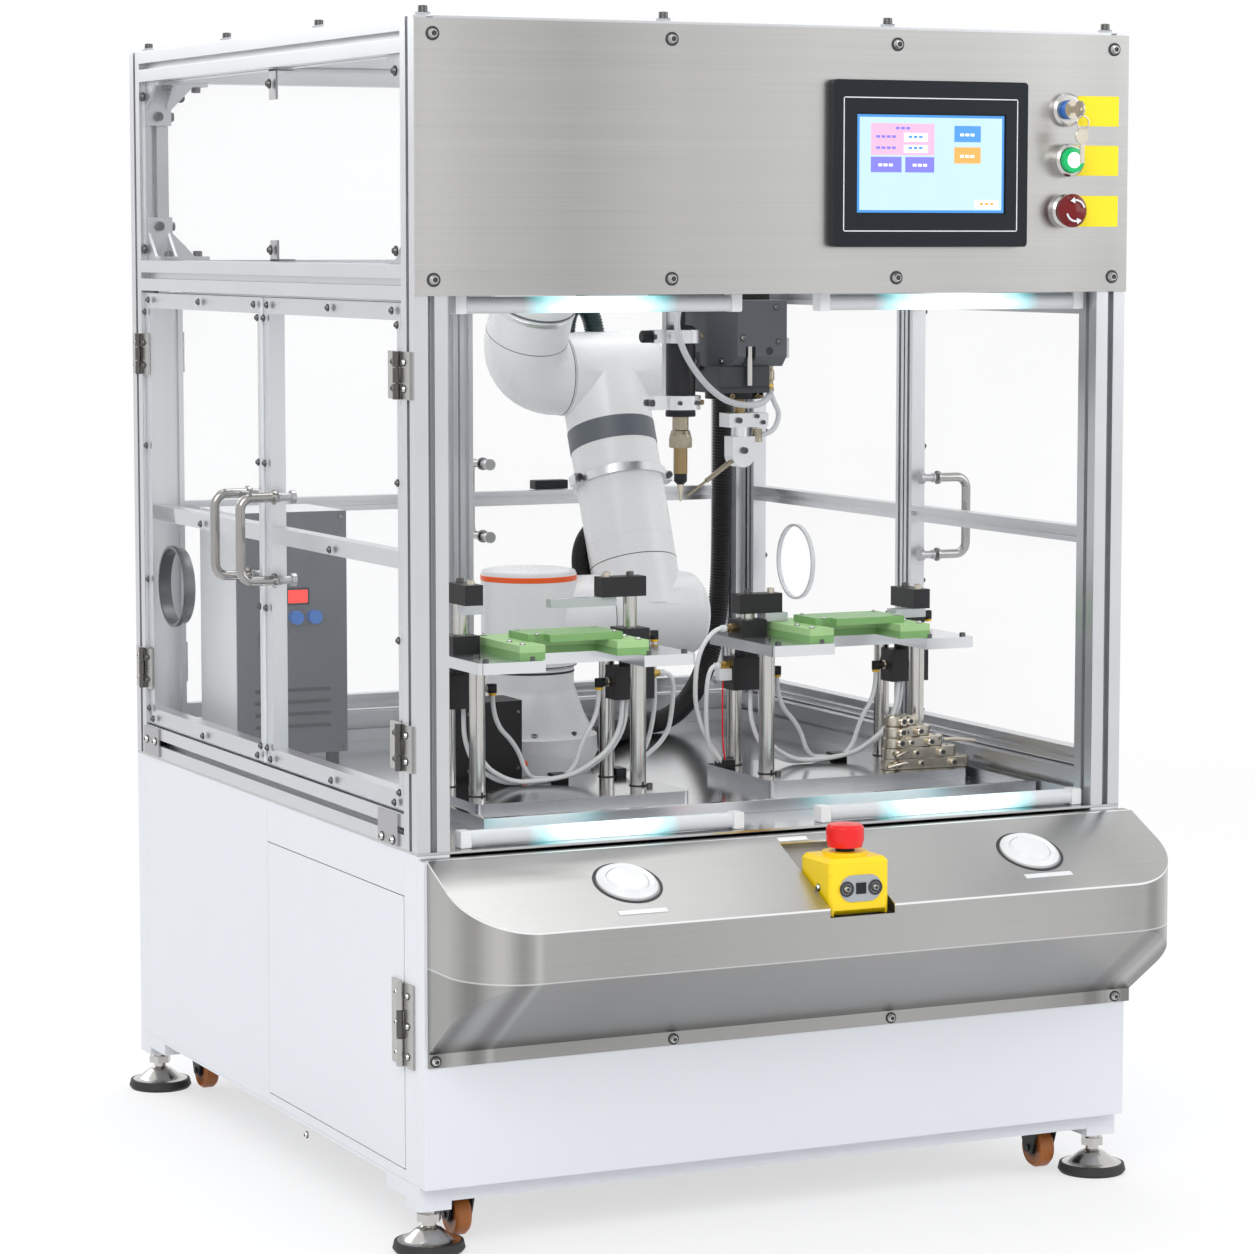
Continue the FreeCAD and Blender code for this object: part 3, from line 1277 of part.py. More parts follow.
def robot_upper_arm():
    """Straight tube between two domed joint housings, with its split collar."""
    low = barrel(at(SHOULDER, 0), ELBOW_SEAM, BARREL_END, BARREL_RADIUS)
    high = barrel(at(ELBOW, 0), ELBOW_SEAM, BARREL_END - BARREL_STEP, BARREL_RADIUS)
    heading = lean(UPPER_ARM_LEAN)
    tube = cylinder(at(SHOULDER, UPPER_ARM_X), heading, UPPER_ARM_LENGTH, LINK_RADIUS)
    body = low.fuse([high, tube]).removeSplitter()
    collar = ring(at(SHOULDER, UPPER_ARM_X) + heading * COLLAR_ALONG, heading, COLLAR_HEIGHT,
                  LINK_RADIUS + COLLAR_WALL, LINK_RADIUS)
    return [body, collar]


def robot_forearm():
    """Bent tube from the elbow seam up to the wrist seam."""
    heading = lean(FOREARM_LEAN)
    start = at(ELBOW, ELBOW_SEAM - JOINT_GAP)
    corner = at(ELBOW, FOREARM_X)
    middle = corner + heading * FOREARM_WIDE_RUN
    end = at(WRIST, WRIST_SEAM)
    slim = WRIST_RADIUS + FOREARM_STEP
    first = pipe([start, corner, middle], FOREARM_RADIUS, FOREARM_BEND)
    second = pipe([middle, at(WRIST, FOREARM_X), end], slim, WRIST_BEND + FOREARM_STEP)
    cone = Part.makeCone(FOREARM_RADIUS, slim, FOREARM_TAPER, middle, heading)
    return [first.fuse([second, cone]).removeSplitter()]


def robot_wrist_1():
    """Wrist housing that turns the direction from the forearm to the front."""
    start = at(WRIST, WRIST_SEAM + JOINT_GAP)
    return [pipe([start, at(WRIST, HAND_X), Vector(HAND_X, HAND_SEAM_Y, WRIST.z)],
                 WRIST_RADIUS, WRIST_BEND)]


def robot_wrist_2():
    """Second wrist housing, bent down to the tool flange."""
    start = Vector(HAND_X, HAND_SEAM_Y - JOINT_GAP, WRIST.z)
    return [pipe([start, Vector(HAND_X, HAND_Y, WRIST.z), Vector(HAND_X, HAND_Y, FLANGE_Z)],
                 WRIST_RADIUS, WRIST_BEND)]


# Tool

def guide_block():
    """Block with a round nose that the wire nozzle is fixed in."""
    wide, deep, tall = GUIDE_BLOCK
    foot = Vector(GUIDE_X, IRON_Y - deep / 2, GUIDE_TOP - tall + wide / 2)
    block = box(GUIDE_X - wide / 2, GUIDE_X + wide / 2, foot.y, foot.y + deep, foot.z, GUIDE_TOP)
    return block.fuse(cylinder(foot, Y_AXIS, deep, wide / 2))


def tool_bracket():
    """Flange disc, hanger, black top plate, iron clamps and wire guide block."""
    face = FLANGE_Z - JOINT_GAP
    disc_low = face - FLANGE_THICKNESS
    under = TOOL_PLATE_TOP - TOOL_PLATE_THICKNESS
    disc = cylinder(Vector(HAND_X, HAND_Y, disc_low), Z_AXIS, FLANGE_THICKNESS, FLANGE_RADIUS)
    hanger = box(HAND_X - HANGER_HALF, HAND_X + HANGER_HALF, HAND_Y - HANGER_FRONT,
                 HAND_Y + HANGER_BACK, TOOL_PLATE_TOP, disc_low)
    left = IRON_X - SPINE_HALF
    right = IRON_X + SPINE_HALF
    plate = box(left, FEEDER_X[1], IRON_Y + TOOL_PLATE_FRONT, FEEDER_Y[1], under, TOOL_PLATE_TOP)
    frame = disc.fuse([hanger, plate]).removeSplitter()
    reach = IRON_HANDLE_RADIUS + IRON_LUG_WALL
    spine = box(left, right, IRON_Y + reach, IRON_Y + reach + SPINE_DEPTH, IRON_CLAMPS[0][0],
                under)
    pieces = [frame, spine]
    out_left, out_right, deep = IRON_BAR
    for low, high in IRON_CLAMPS:
        bar = box(IRON_X - out_left, IRON_X + out_right, IRON_Y - deep, IRON_Y + deep, low, high)
        link = box(left, right, IRON_Y + deep, IRON_Y + reach, low, high)
        eye = cylinder(Vector(IRON_X, IRON_Y, low - 1), Z_AXIS, high - low + 2,
                       IRON_HANDLE_RADIUS + IRON_EYE_GAP)
        lug = cylinder(Vector(IRON_X, IRON_Y, low), Z_AXIS, high - low, reach)
        pieces.append(bar.fuse([link, lug]).cut(eye).removeSplitter())
    column = cylinder(Vector(GUIDE_X, IRON_Y, GUIDE_TOP), Z_AXIS, GRIP_TOP, GUIDE_COLUMN)
    deep, tall = GRIP_SIZE
    top = GUIDE_TOP + GRIP_TOP
    grip = box(GUIDE_X - GRIP_SPAN[0], GUIDE_X + GRIP_SPAN[1], IRON_Y - deep / 2,
               IRON_Y + deep / 2, top - tall, top)
    pieces.append(guide_block().fuse([column, grip]).removeSplitter())
    return pieces


def soldering_iron():
    """Black handle, nickel sleeve and nut, brass tube, black holder and pointed tip."""
    foot = Vector(IRON_X, IRON_Y, IRON_TIP)
    h = IRON_HANDLE_RADIUS
    low, high = IRON_HANDLE
    cord, rise = IRON_CORD_EXIT
    handle = [(h, low), (h, high), (h - 4, high + 3), (cord, high + 4), (cord, high + rise),
              (0, high + rise)]
    return [turned(list(IRON_SHANK) + handle, foot)]


def wire_feeder():
    """Chamfered feeder housing, lower motor block, ring, feed tube and side connector."""
    x0, x1 = FEEDER_X
    y0, y1 = FEEDER_Y
    z0, z1 = FEEDER_Z
    across, back = FEEDER_CORNER
    outline = [
        Vector(x0, y1, z0), Vector(x0, y0 + back, z0), Vector(x0 + across, y0, z0),
        Vector(x1, y0, z0), Vector(x1, y1, z0),
    ]
    housing = prism(outline, Z_AXIS * (z1 - z0))
    under = [Vector(x0 - 1, y0 - 1, z0 - 1), Vector(x0 - 1, y0 + FEEDER_CHIN, z0 - 1),
             Vector(x0 - 1, y0 - 1, z0 + FEEDER_CHIN)]
    housing = housing.cut(prism(under, X_AXIS * (x1 - x0 + 2)))
    out_left, out_right, deep, rise = FEEDER_SLOT
    slot_top = z0 + rise
    slot = box(GUIDE_X - out_left, GUIDE_X + out_right, y0 - 1, y0 + deep, z0 - 1, slot_top)
    out_left, out_right, front, back, tall = FEEDER_MOTOR
    motor = box(GUIDE_X - out_left, GUIDE_X + out_right, y0 + front, y0 + back, z0 - tall, z0)
    radius, thick, back = FEEDER_RIM
    rim_low = z0 - tall - thick
    rim = cylinder(Vector(GUIDE_X, y0 + back, rim_low), Z_AXIS, thick, radius)
    foot = GUIDE_TOP + GRIP_TOP
    stem = cylinder(Vector(GUIDE_X, IRON_Y, foot), Z_AXIS, rim_low - foot, FEEDER_STEM)
    housing = housing.cut(slot).fuse([motor, rim, stem]).removeSplitter()
    radius, shift, back, drop = FEEDER_ROD
    rod = cylinder(Vector(GUIDE_X + shift, y0 + back, z0 - drop), Z_AXIS,
                   slot_top - z0 + drop, radius)
    proud, front, back, low, high = FEEDER_PORT
    side = box(x1, x1 + proud, y0 + front, y0 + back, z0 + low, z0 + high)
    return [housing, side, rod]


def feed_nozzle():
    """Wire nozzle from the round nose of the guide block to the tip of the iron."""
    wide, _, tall = GUIDE_BLOCK
    start = Vector(GUIDE_X, IRON_Y, GUIDE_TOP - tall + wide / 2)
    end = Vector(IRON_X + NOZZLE_END[0], IRON_Y, IRON_TIP + NOZZLE_END[1])
    heading = (end - start).normalize()
    thick_run = (end - start).Length * NOZZLE_THICK_SHARE
    thick = cylinder(start, heading, thick_run, NOZZLE_RADIUS).cut(guide_block())
    thin_run = (end - start).Length - thick_run
    thin = cylinder(start + heading * thick_run, heading, thin_run, NOZZLE_TIP_RADIUS)
    return [thick.fuse(thin).removeSplitter()]


# Conduit and air tubes

def cable_conduit():
    """Corrugated conduit from the top rail down the back right corner to the arm's foot."""
    radius = CONDUIT_RADIUS
    lane_x = INNER_RIGHT - CONDUIT_LANE[0]
    lane_y = INNER_BACK - CONDUIT_LANE[1]
    high, middle, low = CONDUIT_LEVELS
    rest = TABLE_TOP + radius + 0.5
    points = [
        Vector(lane_x, lane_y, FRAME_TOP - PROFILE - 2), Vector(lane_x, lane_y, high),
        Vector(lane_x - 6, lane_y - 4, middle), Vector(lane_x - 40, lane_y - 22, low),
        Vector(lane_x - 105, lane_y - 56, rest), Vector(lane_x - 190, lane_y - 96, rest),
        Vector(lane_x - 262, lane_y - 172, rest), Vector(ARM_X + 130, ARM_Y + 96, rest + 4),
        Vector(ARM_X + 84, ARM_Y + 62, rest + 8),
    ]
    print("conduit radii", route_radii(points))
    return [pipe(points, radius)]


def air_tubes():
    """White air lines between the clamp cylinders of each fixture."""
    radius = AIR_TUBE_RADIUS
    pieces = []
    high = TOP_PLATE_LEVEL - TOP_PLATE[2] - CLAMP_BODY_DROP - CLAMP_BODY[2] - FIT_GAP
    low = TABLE_TOP + BASE_PLATE[2] + radius + FIT_GAP
    drop = high - low
    for fixture in range(2):
        corner = plate_corner(fixture)
        for lane in range(2):
            inset = AIR_TUBE_INSET + AIR_TUBE_LANE * lane
            x0 = corner.x + CLAMP_X[0] + inset
            x1 = corner.x + CLAMP_X[1] - inset
            y = corner.y + CLAMP_Y - 9 * lane
            rise = 2.0 * lane
            points = [
                Vector(x0, y, high), Vector(x0, y - 1, high - 0.4 * drop),
                Vector(x0 + 13, y - 3, low + 0.24 * drop), Vector(x0 + 50, y - 5, low + rise),
                Vector(x0 + 104, y - 4, low + 1 + rise), Vector(x1 - 62, y - 2, low + 7 + rise),
                Vector(x1 - 20, y, low + 0.36 * drop), Vector(x1 - 3, y + 1, high - 0.36 * drop),
                Vector(x1, y + 1, high),
            ]
            print("air tube radii", route_radii(points))
            pieces.append(pipe(points, radius))
    return pieces


def spare_levers():
    """Nickel plated clamp levers left in a stack on the right base plate."""
    pieces = []
    low = TABLE_TOP + BASE_PLATE[2]
    spot = Vector(FIXTURE_LEFTS[1] + LEVER_SPOT[0], FIXTURE_FRONTS[1] + LEVER_SPOT[1], low)
    long, wide, thick = LEVER
    for k in range(LEVER_COUNT):
        half = long / 2 - LEVER_STEP * k
        bar = box(-half, half, -wide / 2, wide / 2, 0, thick)
        bar = fillet_edges(bar, wide / 2 - 0.5, upright)
        for side in (-1, 1):
            eye = Vector(side * (half - wide / 2), 0, -1)
            bar = bar.cut(cylinder(eye, Z_AXIS, thick + 2, LEVER_EYE))
        bar.rotate(Vector(0, 0, 0), Z_AXIS, LEVER_TURN * (k - 1))
        bar.translate(spot + Vector(-LEVER_STEP * k, 0, k * thick))
        pieces.append(bar)
    return pieces


def nodes():
    """Every node of the machine: its name and its solids."""
    made = {
        "cabinet_shell": cabinet_shell(),
        "cabinet_base": cabinet_base(),
        "table_top": table_top(),
        "frame_profiles": frame_profiles(),
        "corner_brackets": corner_brackets() + fixed_hinges(),
        "window_panels": window_panels(),
        "fascia_panel": fascia_panel(),
        "touchscreen": touchscreen(),
        "switch_bezels": switch_bezels(),
        "console_cover": console_cover(),
        "stop_box": stop_box(),
        "light_bars": light_bars(),
        "fixture_stands": locating_frame() + fixture_stand(0) + fixture_stand(1),
        "board_carriers": board_carrier(0) + board_carrier(1),
        "clamp_cylinders": clamp_cylinders(),
        "controllers": controllers(),
        "robot_base": robot_base(),
        "cable_conduit": cable_conduit(),
        "air_tubes": air_tubes(),
        "caster_forks": [caster_fork(point) for _, point, _ in caster_points()],
        "spare_levers": spare_levers(),
        "service_door": service_door(),
        "robot_shoulder": robot_shoulder(),
        "robot_upper_arm": robot_upper_arm(),
        "robot_forearm": robot_forearm(),
        "robot_wrist_1": robot_wrist_1(),
        "robot_wrist_2": robot_wrist_2(),
        "tool_bracket": tool_bracket(),
        "soldering_iron": soldering_iron(),
        "wire_feeder": wire_feeder() + feed_nozzle(),
        "power_key": power_key(),
        "run_button": run_button(),
        "panel_stop": panel_stop(),
        "box_stop": box_stop(),
        "left_start_button": start_button(START_X[0]),
        "right_start_button": start_button(START_X[1]),
    }
    for name, point, _ in caster_points():
        made["caster_wheel_" + name] = [caster_wheel(point)]
    for name, point in foot_points():
        made["levelling_foot_" + name] = [levelling_foot(point)]
    for leaf, (_, _, _, width, handle, port) in LEAVES.items():
        made[leaf + "_door"] = stand(leaf_frame(width, handle), leaf)
        made[leaf + "_pane"] = stand(leaf_pane(width, port), leaf)
    for name in CLAMPS:
        made["clamp_arm_" + name] = clamp_arm(name)
    return made


# The origin lies on the floor under the middle of the whole machine.
HANDLE_OUT = HANDLE_REACH + HANDLE_RADIUS
ORIGIN = Vector(WIDTH / 2, (DEPTH + HANDLE_OUT - CONSOLE_REACH) / 2, -FLOOR_DROP)


def main():
    os.makedirs("parts", exist_ok=True)
    total = 0
    for name, solids in nodes().items():
        shape = Part.makeCompound(solids)
        shape.translate(ORIGIN * -1)
        valid = shape.isValid()
        shape.exportStep("parts/" + name + ".step")
        total += 1
        print(name, "solids", len(shape.Solids), "valid", valid)
    print("nodes", total)


main()
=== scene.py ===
# %% [markdown]
# # A soldering robot cell, dressed for its picture
# The machine is a white steel cabinet with a cage of slotted aluminium and clear doors, and an arm
# inside that solders boards. Its solids come ready in a fixed frame: this script leaves every one
# where it is, gives it a finish, and adds the small things that a maker would screw on afterwards.

# %% Load the frame
import math

import bmesh
import bpy
from mathutils import Matrix, Vector


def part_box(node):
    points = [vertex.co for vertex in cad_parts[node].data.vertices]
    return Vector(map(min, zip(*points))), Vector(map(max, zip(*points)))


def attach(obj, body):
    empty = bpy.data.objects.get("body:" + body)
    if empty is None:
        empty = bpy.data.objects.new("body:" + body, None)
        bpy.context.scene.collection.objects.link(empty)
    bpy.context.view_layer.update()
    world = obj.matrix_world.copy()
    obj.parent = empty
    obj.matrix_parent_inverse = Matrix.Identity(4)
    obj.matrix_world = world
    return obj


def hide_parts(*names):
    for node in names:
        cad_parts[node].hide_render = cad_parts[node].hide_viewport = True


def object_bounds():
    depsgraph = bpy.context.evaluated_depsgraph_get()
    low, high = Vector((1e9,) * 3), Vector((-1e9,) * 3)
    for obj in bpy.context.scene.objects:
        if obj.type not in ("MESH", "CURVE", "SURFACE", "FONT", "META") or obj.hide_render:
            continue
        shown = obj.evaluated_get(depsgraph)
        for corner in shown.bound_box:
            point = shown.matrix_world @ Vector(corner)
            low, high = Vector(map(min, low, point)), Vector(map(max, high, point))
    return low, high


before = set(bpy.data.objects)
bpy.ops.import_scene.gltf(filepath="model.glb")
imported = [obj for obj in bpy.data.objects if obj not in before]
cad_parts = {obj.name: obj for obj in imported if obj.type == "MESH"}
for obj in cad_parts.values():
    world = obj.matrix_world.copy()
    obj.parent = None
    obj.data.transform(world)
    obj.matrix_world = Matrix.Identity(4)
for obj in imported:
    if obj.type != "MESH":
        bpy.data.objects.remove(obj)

cad_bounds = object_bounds()

# %% [markdown]
# ## One corner to measure from
# A fitter measures a machine from one corner in millimetres. The cabinet's front left bottom corner
# is that corner here. It is read from the table plate, which lies on the cabinet, so that all places
# follow the frame. `spot` turns such a measure into the scene's metres.

# %% The corner and its measures
MM = 0.001
CABINET_HEIGHT = 400.0
table_low, table_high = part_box("table_top")
HOME = table_low - Vector((0, 0, CABINET_HEIGHT)) * MM
WIDTH = (table_high.x - table_low.x) / MM
DEPTH = (table_high.y - table_low.y) / MM


def spot(x, y, z):
    """A place in metres, given in millimetres from the corner."""
    return HOME + Vector((x, y, z)) * MM


def extent(node):
    """The lowest and highest corner of a node, in millimetres from the corner."""
    low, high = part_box(node)
    return (low - HOME) / MM, (high - HOME) / MM


FRAME_TOP = extent("frame_profiles")[1].z
FLOOR = extent("levelling_foot_front_left")[0].z
print("corner", tuple(round(v, 4) for v in HOME), "width", round(WIDTH), "depth", round(DEPTH))

# %% [markdown]
# ## Camera
# The photograph was taken from the front left, a little above the middle of the machine, with a long
# lens. The camera was found by matching the corners of the cage, so its place is a measure like any
# other, and the picture then has the perspective of the photograph.

# %% Camera
CAMERA_SPOT = (-1652.77, -4042.63, 1094.14)
CAMERA_TURN = (84.32, 0.0, -25.34)
CAMERA_LENS = 112.2
SENSOR = 36.0

camera = bpy.data.objects.new("camera", bpy.data.cameras.new("camera"))
camera.data.lens = CAMERA_LENS
camera.data.sensor_width = SENSOR
camera.data.clip_end = 50.0
camera.location = spot(*CAMERA_SPOT)
camera.rotation_euler = [math.radians(v) for v in CAMERA_TURN]
bpy.context.collection.objects.link(camera)
bpy.context.scene.camera = camera
bpy.context.scene.view_settings.view_transform = "Standard"
print("camera", tuple(round(v, 3) for v in camera.location))

# %% [markdown]
# ## Node trees that read like sums
# A finish is worked out at every point of a surface by nodes. Written node by node it is long and
# hard to read, so one small class wraps a socket and lets `+`, `-` and `*` add the Math nodes. Every
# other node comes from one method that takes a node's kind, its settings and its inputs. The same
# two classes also write Geometry Nodes, because both kinds of tree are nodes with sockets.

# %% The sum and the tree
class Sum:
    """A value on its way from one node to the next."""

    def __init__(self, tree, socket):
        self.tree = tree
        self.socket = socket

    def math(self, operation, *others):
        return self.tree.node("ShaderNodeMath", {"operation": operation}, self, *others)

    def __add__(self, other):
        return self.math("ADD", other)

    __radd__ = __add__

    def __sub__(self, other):
        return self.math("SUBTRACT", other)

    def __rsub__(self, other):
        return self.tree.node("ShaderNodeMath", {"operation": "SUBTRACT"}, other, self)

    def __mul__(self, other):
        return self.math("MULTIPLY", other)

    __rmul__ = __mul__

    def __truediv__(self, other):
        return self.math("DIVIDE", other)

    def clamp(self):
        return self.tree.node("ShaderNodeClamp", {}, self)

    def above(self, edge, soft=0.0001):
        """0 below the edge and 1 above it, with a ramp as wide as soft."""
        return ((self - edge) / soft + 0.5).clamp()

    def within(self, low, high, soft=0.0001):
        return self.above(low, soft) * (1 - self.above(high, soft))


class Tree:
    """A node tree that is written with one call per node."""

    def __init__(self, nodes, links):
        self.nodes = nodes
        self.links = links

    def feed(self, socket, value):
        """A link for a sum, several for a list of sums, and a plain value otherwise."""
        for one in value if isinstance(value, list) else [value]:
            if isinstance(one, Sum):
                self.links.new(one.socket, socket)
            elif one is not None:
                socket.default_value = one

    def node(self, kind, settings, *values, out=0, **named):
        """Adds a node. Values fill its open inputs in order, and named ones by their name."""
        made = self.nodes.new(kind)
        for key, value in settings.items():
            setattr(made, key, value)
        for socket, value in zip([s for s in made.inputs if s.enabled], values):
            self.feed(socket, value)
        for key, value in named.items():
            self.feed(made.inputs[key.replace("_", " ")], value)
        results = [s for s in made.outputs if s.enabled]
        return Sum(self, results[out]) if results else None


print("sums can", ", ".join(k.strip("_") for k in vars(Sum) if k.startswith("__r")))

# %% The finish
class Finish(Tree):
    """A material that is built by sums."""

    def __init__(self, name):
        self.material = bpy.data.materials.new(name)
        self.material.use_nodes = True
        tree = self.material.node_tree
        tree.nodes.clear()
        super().__init__(tree.nodes, tree.links)

    def place(self):
        """Where a point of the piece lies, in metres."""
        return self.node("ShaderNodeTexCoord", {}, out=3)

    def axes(self):
        """The place in millimetres from the corner, as three sums."""
        made = self.node("ShaderNodeSeparateXYZ", {}, self.place()).socket.node
        return [(Sum(self, socket) - home) / MM for socket, home in zip(made.outputs, HOME)]

    def noise(self, scale, detail=3.0, stretch=(1, 1, 1)):
        """Smooth noise from 0 to 1. A stretch above 1 makes it finer along that axis."""
        where = self.node("ShaderNodeMapping", {}, self.place(), Scale=stretch)
        return self.node("ShaderNodeTexNoise", {}, Vector=where, Scale=scale, Detail=detail)

    def blend(self, share, first, second):
        """A colour between two, by a share from 0 to 1."""
        made = self.nodes.new("ShaderNodeMix")
        made.data_type = "RGBA"
        for number, value in ((0, share), (6, first), (7, second)):
            self.feed(made.inputs[number], (*value[:3], 1.0) if isinstance(value, tuple) else value)
        return Sum(self, made.outputs[2])

    def bump(self, height, depth, strength=1.0):
        """A normal from a height from 0 to 1 that stands for depth in metres."""
        return self.node("ShaderNodeBump", {}, Height=height, Distance=depth, Strength=strength)

    def surface(self, **named):
        """Ends the tree in one Principled shader."""
        if isinstance(named.get("Base_Color"), tuple):
            named["Base_Color"] = (*named["Base_Color"][:3], 1.0)
        shader = self.node("ShaderNodeBsdfPrincipled", {}, **named)
        self.node("ShaderNodeOutputMaterial", {}, shader)
        return self.material


def shade(colour, factor):
    """A lighter or darker version of a colour."""
    return tuple(min(1.0, c * factor) for c in colour[:3])


print("node helpers ready")

# %% [markdown]
# ## Finishes
# Each finish is a short function, because one kind of surface comes back in several colours. Steel
# that is brushed shows fine streaks along the sheet. Powder coat has a faint orange peel. Anodised
# aluminium is satin with a very fine grain. Every number that varies goes into colour, roughness or
# a bump, and everything that is the same all over is set straight on the shader.

# %% Metal finishes
# The colour of the painted highlights along the console's folds.
PAINTED_HIGHLIGHT = (0.92, 0.92, 0.915)


def brushed(name, colour, along, rough=0.3, contrast=0.10, bands=(), painted_light=None):
    """Sheet metal brushed along one or two axes. Bands are painted reflections: stripes lighter or
    darker across X, each (middle in X, width, factor). The last argument is a function of the place
    that gives a mask for painted highlights along the folds and a tone of painted shade and light."""
    f = Finish(name)
    stretch = tuple(1.6 if axis in along else 620.0 for axis in "XYZ")
    streak = f.noise(1.0, 2.0, stretch)
    cloud = f.noise(1.6, 1.0)
    tone = (streak - 0.5) * (2 * contrast) + (cloud - 0.5) * 0.10 + 0.5
    x = f.axes()[0]
    # The bands are painted reflections: stripes of lighter or darker colour across X.
    for middle, width, factor in bands:
        away = (x - middle).math("ABSOLUTE") / width
        tone = tone + (1 - away).clamp().math("SMOOTH_MIN", 1.0, 0.4) * factor
    # Painted light: line masks painted highlights along the folds, and the tone adds painted shade and light.
    line, painted_tone = painted_light(*f.axes()) if painted_light else (0.0, 0.0)
    base = f.blend((tone + painted_tone).clamp(), shade(colour, 0.55), shade(colour, 1.45))
    if painted_light:
        base = f.blend(line, base, PAINTED_HIGHLIGHT)
    return f.surface(Base_Color=base, Metallic=1.0, Roughness=streak * 0.10 + (rough - 0.05),
                     Normal=f.bump(streak, 0.00002))


def satin(name, colour, rough=0.35, metallic=1.0, grain=900.0):
    """Anodised, ground or plated metal with a fine even grain."""
    f = Finish(name)
    fine = f.noise(grain, 2.0)
    cloud = f.noise(9.0, 2.0)
    tone = (fine - 0.5) * 0.5 + (cloud - 0.5) * 0.7 + 0.5
    base = f.blend(tone.clamp(), shade(colour, 0.94), shade(colour, 1.06))
    return f.surface(Base_Color=base, Metallic=metallic, Roughness=cloud * 0.12 + (rough - 0.06),
                     Normal=f.bump(fine, 0.00001))


def plated(name, colour, rough=0.16):
    """Bright plated or polished metal, with faint smears."""
    f = Finish(name)
    smear = f.noise(60.0, 3.0)
    base = f.blend(smear, shade(colour, 0.93), shade(colour, 1.05))
    return f.surface(Base_Color=base, Metallic=1.0, Roughness=smear * 0.14 + (rough - 0.05))


print("metal finishes ready")


# %% Coats, plastics and rubber
def coated(name, colour, rough=0.4, peel=0.00003, grain=420.0):
    """Paint or powder coat with its orange peel and a very faint unevenness."""
    f = Finish(name)
    skin = f.noise(grain, 2.0)
    cloud = f.noise(3.0, 2.0)
    base = f.blend(cloud, shade(colour, 0.975), shade(colour, 1.02))
    return f.surface(Base_Color=base, Roughness=skin * 0.1 + (rough - 0.05), Normal=f.bump(skin, peel))


def moulded(name, colour, rough=0.4, grain=1500.0, depth=0.00002, gloss=0.5):
    """Plastic from a mould: its grain is fine and its gloss nearly even."""
    f = Finish(name)
    skin = f.noise(grain, 2.0)
    cloud = f.noise(14.0, 2.0)
    base = f.blend(cloud, shade(colour, 0.94), shade(colour, 1.06))
    return f.surface(Base_Color=base, Roughness=skin * 0.12 + (rough - 0.06), Normal=f.bump(skin, depth),
                     Specular_IOR_Level=gloss)


def see_through(name, tint, alpha, rough=0.04):
    """A clear sheet: mostly open, with a faint haze and its own reflections."""
    f = Finish(name)
    smear = f.noise(5.0, 3.0)
    return f.surface(Base_Color=tint, Alpha=alpha, Roughness=smear * 0.05 + rough)


CYAN_HALO = (0.10, 0.62, 0.66)
UNLIT = (0.01, 0.01, 0.01)
HALO_REACH = 22.0


def lit(name, colour, glow, strength, spans=None):
    """A surface that gives light of its own, all over or only within spans of X."""
    f = Finish(name)
    cloud = f.noise(20.0, 2.0)
    shine = f.blend(cloud, shade(glow, 0.96), shade(glow, 1.0))
    if spans:
        x = f.axes()[0]
        core = halo = 0.0
        for low, high in spans:
            core = x.within(low, high, 40.0) + core
            halo = x.within(low - HALO_REACH, high + HALO_REACH, 30.0) + halo
        shine = f.blend(core.clamp(), CYAN_HALO, shine)
        shine = f.blend(halo.clamp(), UNLIT, shine)
    return f.surface(Base_Color=colour, Emission_Color=shine, Emission_Strength=strength, Roughness=0.3)


print("finish recipes ready")

# %% The finishes of this machine
# These bands are painted reflections: lighter and darker stripes across X, where the brushed sheet would
# mirror the studio.
FASCIA_PAINTED_REFLECTIONS = ((15.0, 60.0, 0.16), (195.0, 120.0, -0.18), (520.0, 170.0, 0.12), (905.0, 70.0, -0.14))
CONSOLE_PAINTED_REFLECTIONS = ((180.0, 160.0, -0.10), (620.0, 260.0, 0.10), (860.0, 60.0, -0.12))
NOSE_PAINTED_REFLECTIONS = ((8.0, 22.0, 8.0, -0.28), (30.0, 46.0, 10.0, 0.22), (54.0, 70.0, 12.0, -0.30),
              (76.0, 84.0, 6.0, 0.25), (872.0, 892.0, 12.0, -0.25), (906.0, 916.0, 8.0, 0.25),
              (922.0, 940.0, 8.0, -0.30))
SLOPE_BACK, SLOPE_TOP, SLOPE_RISE = -20.0, 397.0, 64.0 / 140.0
NOSE_FOOT = 275.0


def console_painted_light(x, y, z):
    """Painted highlights along the folds where the slope meets the nose and the nose the chin,
    painted reflection bands round the two corners of the nose, given as (from, to, softness, share)
    in X, painted shade on the slope, darkest at the left, and a chin painted darker than the nose."""
    fall = (y - SLOPE_BACK) * SLOPE_RISE + SLOPE_TOP - z
    # line is the painted highlight along the fold under the slope and, fainter, along the fold at the chin.
    line = fall.within(0.15, 2.6, 0.5) + (z - NOSE_FOOT).math("ABSOLUTE").within(-1.0, 0.9, 0.6) * 0.45
    nose = fall.above(2.0, 1.0)
    # The corner bands are painted reflections round the rounded corners of the nose.
    corner = 0.0
    for low, high, soft, share in NOSE_PAINTED_REFLECTIONS:
        corner = x.within(low, high, soft) * share + corner
    # Painted shade: the slope darker, most at the left, and the chin darker than the rest of the nose.
    slope = (1 - nose) * (x.above(430.0, 240.0) * 0.14 - 0.34)
    return line.clamp(), slope + nose * (corner + z.above(NOSE_FOOT, 2.0) * 0.24 - 0.22)


